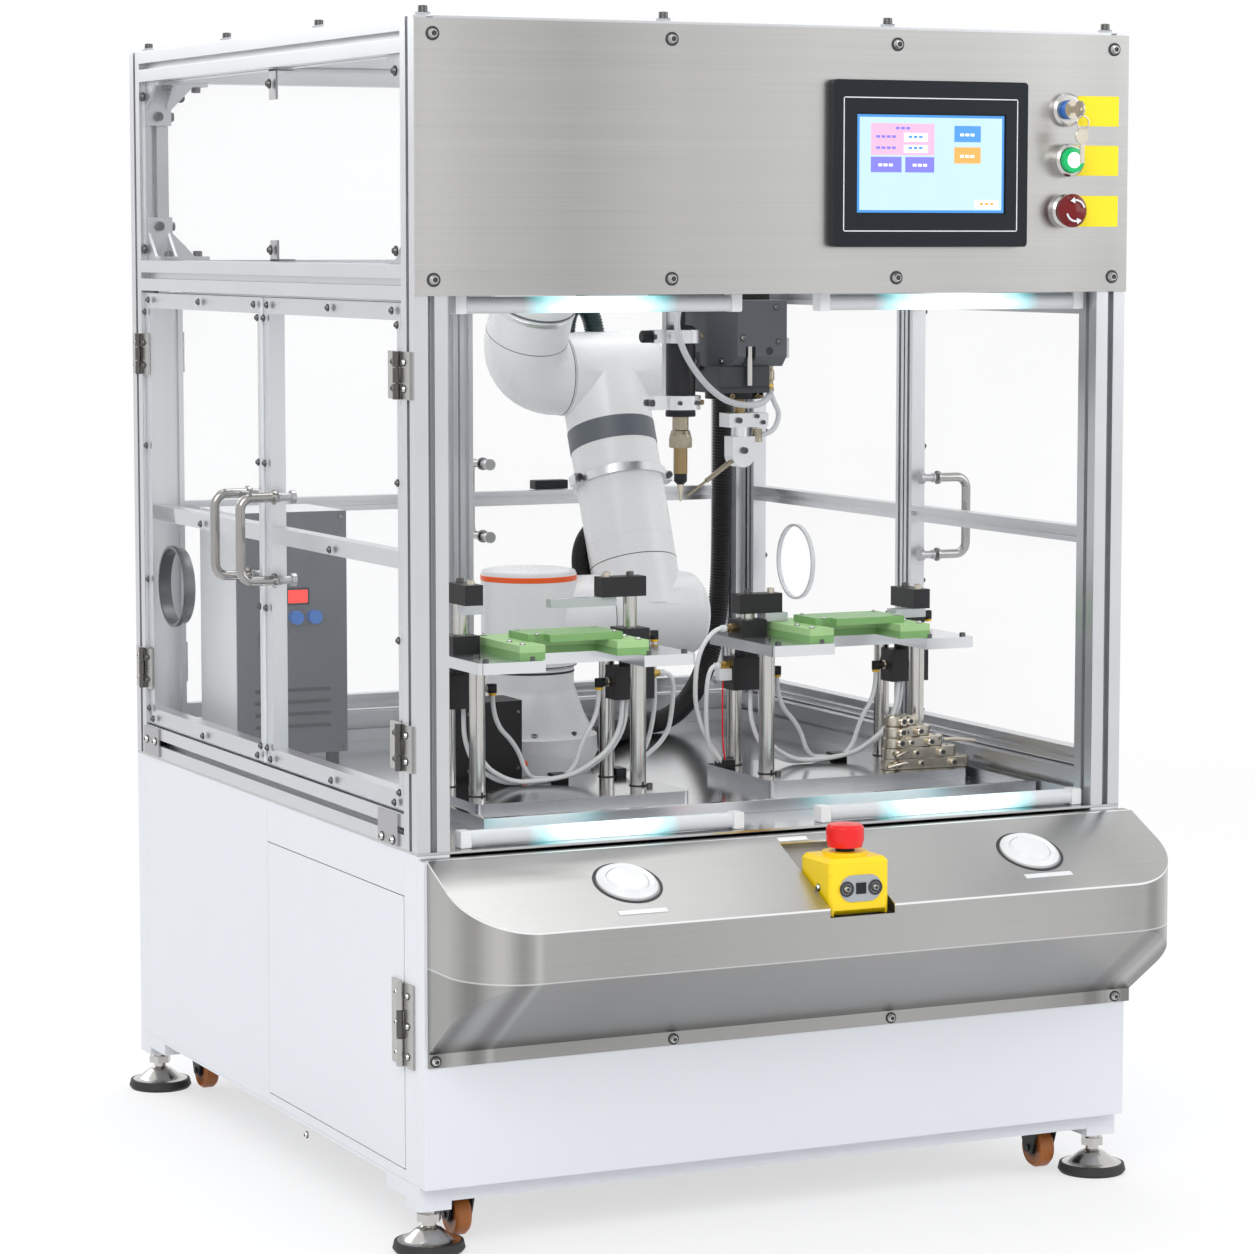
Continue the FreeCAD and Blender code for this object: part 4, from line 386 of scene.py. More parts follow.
ENAMEL = coated("white_enamel", (0.735, 0.75, 0.785), 0.36)
STEEL_SHEET = brushed("brushed_fascia_painted_reflections", (0.46, 0.455, 0.448), "XY", 0.30, 0.09, FASCIA_PAINTED_REFLECTIONS)
CONSOLE_SHEET = brushed("brushed_console_painted_light", (0.40, 0.395, 0.385), "XY", 0.30, 0.07,
                        CONSOLE_PAINTED_REFLECTIONS, console_painted_light)
TABLE_PLATE = brushed("polished_table_plate", (0.52, 0.525, 0.535), "X", 0.14, 0.05)
PROFILE = satin("anodised_profile", (0.60, 0.61, 0.63), 0.30, 0.92)
CAST = satin("cast_bracket", (0.50, 0.51, 0.53), 0.42, 0.8, 500.0)
CLIP_STEEL = plated("clip_steel", (0.42, 0.42, 0.43), 0.3)
HINGE_STEEL = plated("hinge_steel", (0.46, 0.455, 0.44), 0.24)
KNUCKLE = plated("hinge_knuckle", (0.12, 0.115, 0.11), 0.2)
CHROME = plated("dark_chrome", (0.36, 0.35, 0.34), 0.12)
STAINLESS = plated("polished_stainless", (0.56, 0.55, 0.53), 0.18)
ALUMINIUM = satin("machined_aluminium", (0.72, 0.73, 0.75), 0.30, 0.9)
GROUND = satin("ground_plate", (0.72, 0.735, 0.76), 0.24, 1.0, 500.0)
NICKEL = plated("nickel_plate", (0.58, 0.53, 0.45), 0.22)
WARM_NICKEL = plated("warm_nickel", (0.35, 0.31, 0.24), 0.26)
BRASS = plated("aged_brass", (0.30, 0.215, 0.11), 0.3)
GOLD = plated("bright_brass", (0.62, 0.42, 0.12), 0.22)
ZINC = plated("zinc_screw", (0.62, 0.62, 0.61), 0.2)
DARK_ZINC = plated("dark_screw", (0.12, 0.12, 0.12), 0.28)
BLACK_METAL = satin("black_anodised", (0.016, 0.016, 0.018), 0.42, 0.3, 600.0)
BLACK_PLASTIC = moulded("black_plastic", (0.014, 0.015, 0.017), 0.42, gloss=0.25)
BEZEL = moulded("black_bezel", (0.010, 0.0135, 0.018), 0.34, gloss=0.2)
DARK_CASE = coated("dark_grey_case", (0.105, 0.112, 0.126), 0.42, 0.000008, 900.0)
DARKER_CASE = coated("darker_grey_case", (0.045, 0.048, 0.055), 0.42, 0.000008, 900.0)
WHITE_CAST = coated("white_casting", (0.86, 0.865, 0.87), 0.28, 0.000005, 600.0)
CASE_WHITE = coated("case_white", (0.76, 0.77, 0.78), 0.4, 0.000008, 900.0)
GREY_BAND = coated("grey_band", (0.125, 0.14, 0.16), 0.4, 0.000008, 900.0)
# Black for dark joints and slots, and for painted shade: rims round screw heads, and rings round the start
# buttons and the feet of the fixture posts.
SEAM_AND_SHADE = moulded("seam_and_shade_black", (0.03, 0.03, 0.032), 0.6)
ORANGE = moulded("orange_ring", (0.95, 0.11, 0.005), 0.35)
WHITE_PLASTIC = moulded("white_plastic", (0.76, 0.765, 0.77), 0.28)
YELLOW = moulded("yellow_plastic", (0.95, 0.66, 0.003), 0.3)
LABEL_YELLOW = moulded("yellow_plate", (0.95, 0.76, 0.0), 0.4)
RED = moulded("red_plastic", (0.80, 0.005, 0.005), 0.24)
DARK_RED = moulded("dark_red_plastic", (0.17, 0.003, 0.005), 0.18, gloss=0.35)
RING_YELLOW = moulded("yellow_release_ring", (0.85, 0.50, 0.02), 0.3)
TEAL_BLACK = moulded("teal_black_hose", (0.01, 0.035, 0.036), 0.36)
BLUE = moulded("blue_rotor", (0.012, 0.16, 0.60), 0.3)
GREEN_RING = moulded("green_ring", (0.0, 0.50, 0.14), 0.22)
LAMINATE = moulded("green_laminate", (0.21, 0.42, 0.145), 0.36, 700.0)
LAMINATE_EDGE = moulded("pale_green_laminate", (0.38, 0.62, 0.27), 0.45, 700.0)
RUBBER = moulded("foot_rubber", (0.018, 0.018, 0.019), 0.6, 900.0)
AMBER = moulded("amber_wheel", (0.42, 0.13, 0.025), 0.38)
HOSE_BLACK = moulded("black_hose", (0.010, 0.010, 0.011), 0.42, gloss=0.25)
WHITE_TUBE = moulded("white_tube", (0.78, 0.785, 0.79), 0.26)
PANE = see_through("clear_pane", (0.90, 0.93, 0.97), 0.045)
PANE_EDGE = see_through("pane_edge", (0.86, 0.90, 0.93), 0.5, 0.3)
CLEAR_PAD = see_through("clear_pad", (0.60, 0.62, 0.64), 0.82, 0.1)
# Dark colour for the left rear port: painted shade seen in the hole.
PORT_SHADE = satin("port_sleeve_painted_shade", (0.15, 0.155, 0.16), 0.36)
# The top of the base plates is painted darker than their sides: a painted reflection.
PLATE_TOP_PAINTED_REFLECTION = brushed("polished_plate_top_painted_reflection", (0.36, 0.365, 0.375), "X", 0.13, 0.04)
STOP_PLATE = moulded("grey_stop_plate", (0.36, 0.38, 0.40), 0.36)
SILVER_TUBE = see_through("silver_tube", (0.74, 0.76, 0.79), 0.72, 0.12)
LIT_SPANS = ((180.0, 300.0), (634.0, 785.0))
DIFFUSER = lit("white_diffuser", (0.60, 0.62, 0.64), (0.80, 1.0, 1.0), 1.0, LIT_SPANS)
LAMP_WHITE = lit("lit_lens", (0.9, 0.95, 0.92), (0.80, 1.0, 0.90), 1.1)
DISPLAY = lit("lit_display", (0.10, 0.16, 0.18), (0.62, 0.84, 0.90), 0.9)
DISPLAY_EDGE = lit("display_edge", (0.02, 0.08, 0.2), (0.05, 0.30, 0.75), 0.9)
PANEL_PINK = lit("panel_pink", (0.4, 0.2, 0.3), (0.80, 0.45, 0.62), 0.8)
PANEL_VIOLET = lit("panel_violet", (0.1, 0.1, 0.4), (0.20, 0.18, 0.72), 0.8)
PANEL_BLUE = lit("panel_blue", (0.05, 0.15, 0.4), (0.05, 0.28, 0.80), 0.8)
PANEL_ORANGE = lit("panel_orange", (0.4, 0.2, 0.05), (0.85, 0.38, 0.08), 0.8)
PANEL_WHITE = lit("panel_white", (0.6, 0.6, 0.6), (0.95, 0.97, 1.0), 0.8)
RED_DIGITS = lit("red_display", (0.2, 0.0, 0.0), (1.0, 0.03, 0.02), 1.2)
print("finishes", len(bpy.data.materials))

# %% [markdown]
# ## A piece, built in millimetres
# Every visible piece is collected in one mesh: solids that come from the frame, and blocks, turned
# parts and tubes that are added to them. A solid of the frame arrives as loose triangles. Its corners
# are welded, its flat faces are joined again and its sharp edges get a small bevel, because real
# edges always catch a line of light. The frame's own node stays behind, hidden.

# %% Solids of a node
FLAT_ANGLE = math.radians(0.6)
SHARP_ANGLE = math.radians(38)


def solids_of(node):
    """Splits a node's triangles where a surface closes, so each solid comes by itself."""
    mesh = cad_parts[node].data
    corner = [tuple(v.co) for v in mesh.vertices]
    solids = []
    current = []
    unmatched = {}
    for polygon in mesh.polygons:
        points = [corner[i] for i in polygon.vertices]
        current.append(points)
        for a, b in zip(points, points[1:] + points[:1]):
            if unmatched.get((b, a), 0) > 0:
                unmatched[(b, a)] -= 1
                if unmatched[(b, a)] == 0:
                    del unmatched[(b, a)]
            else:
                unmatched[(a, b)] = unmatched.get((a, b), 0) + 1
        if not unmatched:
            solids.append(current)
            current = []
    if current:
        solids.append(current)
    return solids


def welded(triangles):
    """One mesh in millimetres from the corner, with its corners merged and flat faces joined."""
    mesh = bmesh.new()
    found = {}
    for points in triangles:
        face = []
        for point in points:
            if point not in found:
                found[point] = mesh.verts.new((Vector(point) - HOME) / MM)
            face.append(found[point])
        if len(set(face)) == 3:
            try:
                mesh.faces.new(face)
            except ValueError:
                pass
    bmesh.ops.dissolve_limit(mesh, angle_limit=FLAT_ANGLE, verts=mesh.verts, edges=mesh.edges)
    return mesh


def ease_edges(mesh, width, segments=2, angle=32.0, longer=0.0):
    """A small rounded bevel on every sharp edge, or a chamfer on the long ones alone."""
    sharp = []
    for edge in mesh.edges:
        if len(edge.link_faces) == 2 and edge.calc_face_angle(0.0) > math.radians(angle):
            if edge.calc_length() >= longer:
                sharp.append(edge)
    if sharp and width > 0:
        bmesh.ops.bevel(mesh, geom=sharp, offset=width, segments=segments, profile=0.7,
                        affect="EDGES", clamp_overlap=True)


print("solids in frame_profiles", len(solids_of("frame_profiles")))


# %% Outlines of turned parts
def disc(radius, height):
    """A plain disc or pin, as (radius, height) pairs."""
    return (0, 0), (radius, 0), (radius, height), (0, height)


def ring(inner, outer, height):
    """A flat ring or a sleeve, as (radius, height) pairs."""
    return (inner, 0), (outer, 0), (outer, height), (inner, height), (inner, 0)


print("a ring of", len(ring(1, 2, 1)), "points, a disc of", len(disc(1, 1)))


# %% The piece
class Piece:
    """A mesh in millimetres from the corner that ends as one object riding on one body."""

    def __init__(self, name, body, slot):
        self.name = name
        self.body = body
        self.slot = slot
        self.mesh = bmesh.new()
        self.finishes = []
        self.nodes = []

    def index(self, finish):
        if finish not in self.finishes:
            self.finishes.append(finish)
        return self.finishes.index(finish)

    def add(self, part, finish):
        """Takes over a mesh. The finish is a material, or a function from a face's middle to one."""
        for face in part.faces:
            chosen = finish(face.calc_center_median(), face) if callable(finish) else finish
            face.material_index = self.index(chosen)
            face.smooth = True
        passed = bpy.data.meshes.new("passed")
        part.to_mesh(passed)
        part.free()
        self.mesh.from_mesh(passed)
        bpy.data.meshes.remove(passed)

    def solids(self, node, choose, ease=0.4, segments=2, chamfer=0.0, longer=0.0):
        """Takes a node's solids. choose(low, high) gives each one its finish, or None to skip it.
        Edges longer than a length may get a chamfer before all edges are eased."""
        self.nodes.append(node)
        for triangles in solids_of(node):
            part = welded(triangles)
            low = Vector([min(v.co[k] for v in part.verts) for k in range(3)])
            high = Vector([max(v.co[k] for v in part.verts) for k in range(3)])
            finish = choose(low, high) if callable(choose) else choose
            if finish is None:
                part.free()
                continue
            ease_edges(part, chamfer, 1, 60.0, longer)
            ease_edges(part, ease, segments)
            self.add(part, finish)

    def block(self, low, high, finish, ease=0.4, turn=None, chamfer=0.0):
        """A box between two corners, with chamfers if it has them and with eased edges."""
        part = bmesh.new()
        middle = [(a + b) / 2 for a, b in zip(low, high)]
        size = [abs(b - a) for a, b in zip(low, high)]
        bmesh.ops.create_cube(part, size=1.0, matrix=Matrix.Diagonal((*size, 1.0)))
        ease_edges(part, chamfer, 1)
        ease_edges(part, ease, 2, 20.0)
        where = Matrix.Translation(middle)
        part.transform(where @ turn.to_4x4() if turn else where)
        self.add(part, finish)

    def turned(self, profile, foot, axis, finish, around=32, knurl=1.0):
        """A turned part from (radius, height) pairs that stands on foot along axis. A knurl
        below 1 draws every second line of its side in, and leaves the axis alone."""
        part = bmesh.new()
        rings = []
        for radius, height in profile:
            if radius < 1e-6:
                rings.append([part.verts.new((0, 0, height))])
                continue
            rings.append([])
            for k in range(around):
                angle = 2 * math.pi * k / around
                reach = radius * (knurl if k % 2 else 1.0)
                rings[-1].append(part.verts.new((reach * math.cos(angle), reach * math.sin(angle), height)))
        for lower, upper in zip(rings, rings[1:]):
            for k in range(around):
                n = (k + 1) % around
                corners = [lower[k % len(lower)], lower[n % len(lower)], upper[n % len(upper)],
                           upper[k % len(upper)]]
                face = [c for i, c in enumerate(corners) if c not in corners[:i]]
                if len(face) > 2:
                    part.faces.new(face)
        bmesh.ops.remove_doubles(part, verts=part.verts, dist=0.00001)
        bmesh.ops.recalc_face_normals(part, faces=part.faces)
        turn = Vector(axis).to_track_quat("Z", "Y").to_matrix().to_4x4()
        part.transform(Matrix.Translation(foot) @ turn)
        self.add(part, finish)

    def prism(self, outline, push, finish, ease=0.4):
        """A flat outline pushed along a vector."""
        part = bmesh.new()
        low = [part.verts.new(p) for p in outline]
        high = [part.verts.new(Vector(p) + Vector(push)) for p in outline]
        part.faces.new(low)
        part.faces.new(high[::-1])
        for k in range(len(low)):
            n = (k + 1) % len(low)
            part.faces.new([low[n], low[k], high[k], high[n]])
        bmesh.ops.recalc_face_normals(part, faces=part.faces)
        ease_edges(part, ease)
        self.add(part, finish)

    def tube(self, points, radius, finish, around=12, smooth=6):
        """A round tube whose middle follows a smooth line near the points."""
        line = smooth_line(points, smooth)
        part = bmesh.new()
        rings = []
        side = None
        for i, point in enumerate(line):
            ahead = (line[min(i + 1, len(line) - 1)] - line[max(i - 1, 0)]).normalized()
            if side is None:
                side = ahead.orthogonal().normalized()
            side = (side - ahead * side.dot(ahead)).normalized()
            over = ahead.cross(side)
            rings.append([])
            for k in range(around):
                angle = 2 * math.pi * k / around
                away = side * math.cos(angle) + over * math.sin(angle)
                rings[-1].append(part.verts.new(point + away * radius))
        for lower, upper in zip(rings, rings[1:]):
            for k in range(around):
                n = (k + 1) % around
                part.faces.new([lower[k], lower[n], upper[n], upper[k]])
        part.faces.new(rings[0][::-1])
        part.faces.new(rings[-1])
        bmesh.ops.recalc_face_normals(part, faces=part.faces)
        self.add(part, finish)

    def done(self):
        """Makes the object, lets it ride and lets it stand for the nodes it took."""
        data = bpy.data.meshes.new(self.name)
        self.mesh.transform(Matrix.Translation(HOME) @ Matrix.Scale(MM, 4))
        self.mesh.to_mesh(data)
        self.mesh.free()
        for finish in self.finishes:
            data.materials.append(finish)
        data.set_sharp_from_angle(angle=SHARP_ANGLE)
        made = bpy.data.objects.new(self.name, data)
        bpy.context.collection.objects.link(made)
        normals = made.modifiers.new("even_normals", "WEIGHTED_NORMAL")
        normals.keep_sharp = True
        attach(made, self.body)
        if self.nodes:
            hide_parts(*self.nodes)
        print(self.name, "faces", len(data.polygons), "finishes", len(self.finishes))
        return made


def plain(name, body, slot, node, finish, ease=0.4, segments=2):
    """A piece that stands for one node and adds nothing to it."""
    piece = Piece(name, body, slot)
    piece.solids(node, finish, ease, segments)
    piece.done()


def smooth_line(points, steps):
    """Points on a smooth line that passes through the ends and bends near the rest."""
    spots = [Vector(p) for p in points]
    if steps < 2 or len(spots) < 3:
        return spots
    line = [spots[0]]
    for i in range(1, len(spots) - 1):
        start = (spots[i - 1] + spots[i]) / 2 if i > 1 else spots[0]
        end = (spots[i] + spots[i + 1]) / 2 if i < len(spots) - 2 else spots[-1]
        for k in range(1, steps + 1):
            t = k / steps
            line.append(start * (1 - t) ** 2 + spots[i] * 2 * t * (1 - t) + end * t ** 2)
    return line


print("piece builder ready")

# %% [markdown]
# ## Small parts by recipe
# The machine has some three hundred screws, and hoses with hundreds of ribs. Nobody places those by
# hand. A Geometry Nodes tree makes one screw from cylinders and puts it on every point of a bare
# mesh, along the direction and in the size that the point carries. The second tree follows a line
# and lets a tube swell and shrink at every rib. The result is turned into a plain mesh, so that each
# small part rides with its own body like any other piece.

# %% The recipe
class Recipe(Tree):
    """A Geometry Nodes tree with named inputs that makes parts on a bare mesh."""
    KINDS = {int: "NodeSocketInt", float: "NodeSocketFloat"}

    def __init__(self, name, **given):
        self.group = bpy.data.node_groups.new(name, "GeometryNodeTree")
        super().__init__(self.group.nodes, self.group.links)
        face = self.group.interface
        face.new_socket("Geometry", in_out="INPUT", socket_type="NodeSocketGeometry")
        face.new_socket("Geometry", in_out="OUTPUT", socket_type="NodeSocketGeometry")
        self.keys = {}
        for key, value in given.items():
            socket = face.new_socket(key, in_out="INPUT",
                                     socket_type=self.KINDS.get(type(value), "NodeSocketMaterial"))
            if value is not None:
                socket.default_value = value
            self.keys[key] = socket.identifier
        self.given = self.nodes.new("NodeGroupInput")

    def input(self, key):
        return Sum(self, self.given.outputs[key])

    def end(self, geometry, *coats):
        """Ends the tree: real faces, and a material for each selection."""
        made = self.node("GeometryNodeRealizeInstances", {}, geometry)
        for selection, key in coats:
            made = self.node("GeometryNodeSetMaterial", {}, made, selection, self.input(key))
        self.links.new(made.socket, self.nodes.new("NodeGroupOutput").inputs[0])

    def run(self, mesh, **given):
        """Makes the parts on a mesh and returns them as one plain mesh."""
        bare = bpy.data.objects.new("bare", mesh)
        bpy.context.collection.objects.link(bare)
        modifier = bare.modifiers.new("recipe", "NODES")
        modifier.node_group = self.group
        for key, value in given.items():
            modifier[self.keys[key]] = value
        seen = bare.evaluated_get(bpy.context.evaluated_depsgraph_get())
        made = bpy.data.meshes.new_from_object(seen)
        bare.modifiers.clear()
        bpy.data.objects.remove(bare)
        bpy.data.meshes.remove(mesh)
        return made


def rider(name, body, slot, data, sharp=SHARP_ANGLE, nodes=()):
    """Makes a finished mesh a piece that rides on a body, and may stand for nodes."""
    data.name = name
    data.polygons.foreach_set("use_smooth", [True] * len(data.polygons))
    data.set_sharp_from_angle(angle=sharp)
    made = bpy.data.objects.new(name, data)
    bpy.context.collection.objects.link(made)
    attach(made, body)
    if nodes:
        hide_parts(*nodes)
    print(name, "faces", len(data.polygons))
    return made


print("recipes know", len(Recipe.KINDS), "kinds of number")

# %% The screw recipe
SCREW = Recipe("screw_on_points", Sides=20, Flange=1.0, Head=0.84, Crown=0.6, Height=0.34, Drive=6,
               Socket=0.42, Seed=7, Metal=None, Dark=None)


def write_screw(r):
    """A flange painted dark as a shadow round the head, a tapered head, and a flat dark disc of painted shade
    for the socket in its middle, one unit across.
    """
    marked = {"data_type": "FLOAT", "domain": "FACE"}
    # The flange is painted dark as a shadow round the head, and the socket is a flat dark disc on top,
    # painted shade in place of a hole.
    flange = r.node("GeometryNodeMeshCylinder", {}, 20, 1, 1, r.input("Flange") * 0.5, 0.14)
    flange = r.node("GeometryNodeStoreNamedAttribute", marked, flange, None, "drive", 1.0)
    crown = r.input("Head") * r.input("Crown") * 0.5
    head = r.node("GeometryNodeMeshCone", {}, r.input("Sides"), 2, 1, crown, r.input("Head") * 0.5,
                  r.input("Height"))
    drive = r.node("GeometryNodeMeshCylinder", {}, r.input("Drive"), 1, 1, r.input("Socket") * 0.5, 0.05)
    top = r.node("ShaderNodeCombineXYZ", {}, 0.0, 0.0, r.input("Height"))
    drive = r.node("GeometryNodeTransform", {}, drive, top)
    drive = r.node("GeometryNodeStoreNamedAttribute", marked, drive, None, "drive", 1.0)
    screw = r.node("GeometryNodeJoinGeometry", {}, [flange, head, drive])
    aim = r.node("GeometryNodeInputNamedAttribute", {"data_type": "FLOAT_VECTOR"}, "aim")
    size = r.node("GeometryNodeInputNamedAttribute", {"data_type": "FLOAT"}, "size")
    turn = r.node("FunctionNodeRandomValue", {}, 0.0, 2 * math.pi, None, r.input("Seed"))
    spin = r.node("FunctionNodeAxisAngleToRotation", {}, (0.0, 0.0, 1.0), turn)
    upright = r.node("FunctionNodeAlignRotationToVector", {"axis": "Z"}, None, 1.0, aim)
    turned = r.node("FunctionNodeRotateRotation", {"rotation_space": "LOCAL"}, upright, spin)
    start = Sum(r, r.given.outputs["Geometry"])
    placed = r.node("GeometryNodeInstanceOnPoints", {}, start, None, screw, None, None, turned, size)
    drive = r.node("GeometryNodeInputNamedAttribute", {"data_type": "FLOAT"}, "drive")
    r.end(placed, (None, "Metal"), (drive.math("GREATER_THAN", 0.5), "Dark"))


write_screw(SCREW)


def screws(name, body, slot, places, **kind):
    """Puts a screw on each (place, aim, diameter), in millimetres from the corner."""
    mesh = bpy.data.meshes.new("places")
    mesh.from_pydata([spot(*place) for place, _, _ in places], [], [])
    for key, kind_of in (("aim", "FLOAT_VECTOR"), ("size", "FLOAT")):
        mesh.attributes.new(key, kind_of, "POINT")
    aims, sizes = mesh.attributes["aim"], mesh.attributes["size"]
    for k, (_, aim, size) in enumerate(places):
        aims.data[k].vector = aim
        sizes.data[k].value = size * MM
    return rider(name, body, slot, SCREW.run(mesh, **kind))


BUTTON = {"Metal": ZINC, "Dark": SEAM_AND_SHADE}
DARK_BUTTON = {"Metal": DARK_ZINC, "Dark": SEAM_AND_SHADE, "Flange": 1.0, "Head": 0.86}
CAP = {"Metal": DARK_ZINC, "Dark": SEAM_AND_SHADE, "Flange": 0.8, "Head": 1.0, "Crown": 0.94, "Height": 0.55}
NICKEL_CAP = {"Metal": NICKEL, "Dark": SEAM_AND_SHADE, "Flange": 0.8, "Head": 1.0, "Crown": 0.94, "Height": 0.6}
WASHER_BOLT = {"Metal": DARK_ZINC, "Dark": SEAM_AND_SHADE, "Head": 0.66, "Crown": 0.94, "Height": 0.5, "Socket": 0.3}
BRASS_CAP = {**NICKEL_CAP, "Metal": BRASS}
print("screw recipe ready")

# %% The ribbed hose recipe
HOSE = Recipe("ribbed_hose", Radius=0.01, Rib=0.1, Pitch=0.005, Around=20, Coat=None)


def write_hose(r):
    """A tube round a line whose radius swings six steps a pitch, so every rib is alike."""
    line = r.node("GeometryNodeMeshToCurve", {}, Sum(r, r.given.outputs["Geometry"]))
    line = r.node("GeometryNodeResampleCurve", {"mode": "LENGTH"}, line, Length=r.input("Pitch") / 6)
    index = r.node("GeometryNodeSplineParameter", {}, out=2)
    swing = (index * (math.pi / 3)).math("SINE") * r.input("Rib") + 1
    ring = r.node("GeometryNodeCurvePrimitiveCircle", {}, r.input("Around"), r.input("Radius"))
    tube = r.node("GeometryNodeCurveToMesh", {}, line, ring, swing, True)
    r.end(tube, (None, "Coat"))


write_hose(HOSE)


def hose(name, body, slot, points, radius, coat, pitch=5.0, rib=0.07, around=20, smooth=12, nodes=()):
    """A ribbed tube on a smooth line near the points, in millimetres from the corner."""
    line = smooth_line(points, smooth)
    mesh = bpy.data.meshes.new("line")
    mesh.from_pydata([spot(*p) for p in line], [(k, k + 1) for k in range(len(line) - 1)], [])
    made = HOSE.run(mesh, Radius=radius * MM, Rib=rib, Pitch=pitch * MM, Around=around, Coat=coat)
    return rider(name, body, slot, made, math.pi, nodes)


print("hose recipe ready")

# %% [markdown]
# ## Floor, world and lamps
# The photograph has a plain white studio behind it. The camera, mirrors and clear sheets see white,
# and the lamps stay at a level at which colours come out as they are written. The floor keeps the
# soft shadow under the machine, because only part of its white is its own there. Further away it is
# all its own, so that no horizon shows.

# %% Floor
RAYS = ("Is Camera Ray", "Is Glossy Ray", "Is Transmission Ray")
FLOOR_SHARE = 0.62
FADE_FROM, FADE_TO = 1.2, 4.5


def floor_finish():
    f = Finish("studio_floor")
    path = f.node("ShaderNodeLightPath", {}).socket.node
    rays = [Sum(f, path.outputs[name]) for name in RAYS]
    cloud = f.noise(0.6, 2.0)
    base = f.blend(cloud, (0.90, 0.90, 0.905), (0.92, 0.92, 0.925))
    own = (rays[0] + rays[1] + rays[2]).clamp()
    away = f.node("ShaderNodeVectorMath", {"operation": "LENGTH"}, f.place())
    share = ((away - FADE_FROM) / (FADE_TO - FADE_FROM)).clamp() * (1 - FLOOR_SHARE) + FLOOR_SHARE
    paint = f.node("ShaderNodeBsdfPrincipled", {}, Base_Color=base, Roughness=0.7,
                   Specular_IOR_Level=0.1)
    white = f.node("ShaderNodeEmission", {}, (1.0, 1.0, 1.0, 1.0), 1.0)
    mixed = f.node("ShaderNodeMixShader", {}, own * share, paint, white)
    f.node("ShaderNodeOutputMaterial", {}, mixed)
    return f.material


bpy.ops.mesh.primitive_plane_add(size=60.0, location=(0, 0, cad_bounds[0].z - 0.0002))
floor = bpy.context.object
floor.name = "studio_floor"
floor.data.materials.append(floor_finish())
print("floor at", round(floor.location.z, 4))

# %% World
world = bpy.data.worlds.new("studio")
bpy.context.scene.world = world
world.use_nodes = True
world.node_tree.nodes.clear()
sky = Tree(world.node_tree.nodes, world.node_tree.links)
path = sky.node("ShaderNodeLightPath", {}).socket.node
rays = [Sum(sky, path.outputs[name]) for name in RAYS]
split = sky.node("ShaderNodeSeparateXYZ", {}, sky.node("ShaderNodeTexCoord", {})).socket.node
glow = sky.node("ShaderNodeMapRange", {}, Sum(sky, split.outputs[2]), -0.35, 0.8, 0.42, 0.86)
studio = sky.node("ShaderNodeBackground", {}, (0.95, 0.97, 1.0, 1.0), glow)
white = sky.node("ShaderNodeBackground", {}, (1.0, 1.0, 1.0, 1.0), 1.0)
either = sky.node("ShaderNodeMixShader", {}, (rays[0] + rays[1] + rays[2]).clamp(), studio, white)
sky.node("ShaderNodeOutputWorld", {}, either)
print("world nodes", len(world.node_tree.nodes))

# %% Lamps
LAMPS = (
    ("key_lamp", (-2.6, -3.6, 3.4), 2.6, 95.0, (1.0, 0.99, 0.97)),
    ("fill_lamp", (3.4, -2.8, 2.2), 2.4, 38.0, (0.96, 0.98, 1.0)),
    ("top_lamp", (0.3, 0.6, 3.8), 2.2, 42.0, (1.0, 1.0, 1.0)),
    ("rear_lamp", (-1.6, 3.4, 2.6), 2.0, 30.0, (0.98, 0.99, 1.0)),
)
AIM = Vector((0.0, 0.0, 0.75))
for name, where, size, power, colour in LAMPS:
    lamp = bpy.data.objects.new(name, bpy.data.lights.new(name, "AREA"))
    lamp.data.size = size
    lamp.data.energy = power
    lamp.data.color = colour
    lamp.location = where
    lamp.rotation_euler = (AIM - Vector(where)).to_track_quat("-Z", "Y").to_euler()
    bpy.context.collection.objects.link(lamp)
print("lamps", len(LAMPS))

# %% [markdown]
# ## Cabinet
# The cabinet is folded sheet steel with a white powder coat. The panels stand apart by a narrow
# joint, which shows as a dark line. The solids have that joint already, so each panel only needs
# its rolled edge, which is wider than the small bevel of the machined parts.

# %% Cabinet shell, base and plate
LEFT, RIGHT = Vector((-1, 0, 0)), Vector((1, 0, 0))
FRONT, BACK = Vector((0, -1, 0)), Vector((0, 1, 0))
DOWN, UP = Vector((0, 0, -1)), Vector((0, 0, 1))

plain("cabinet_panels", "cabinet", "white_enamel", "cabinet_shell", ENAMEL, 1.0)
plain("cabinet_frame", "cabinet", "white_enamel", "cabinet_base", ENAMEL, 0.8)
plain("table_plate", "cabinet", "brushed_steel", "table_top", TABLE_PLATE, 0.3)

# %% [markdown]
# ## Cage
# Slotted aluminium is sawn, anodised and bolted. Its finish is satin and the same on every bar. The
# clear sheets are nearly invisible on their faces, and their cut edges look white, so the faces at
# the edges get a finish of their own. The castings in the corners have one bolt in each flange.

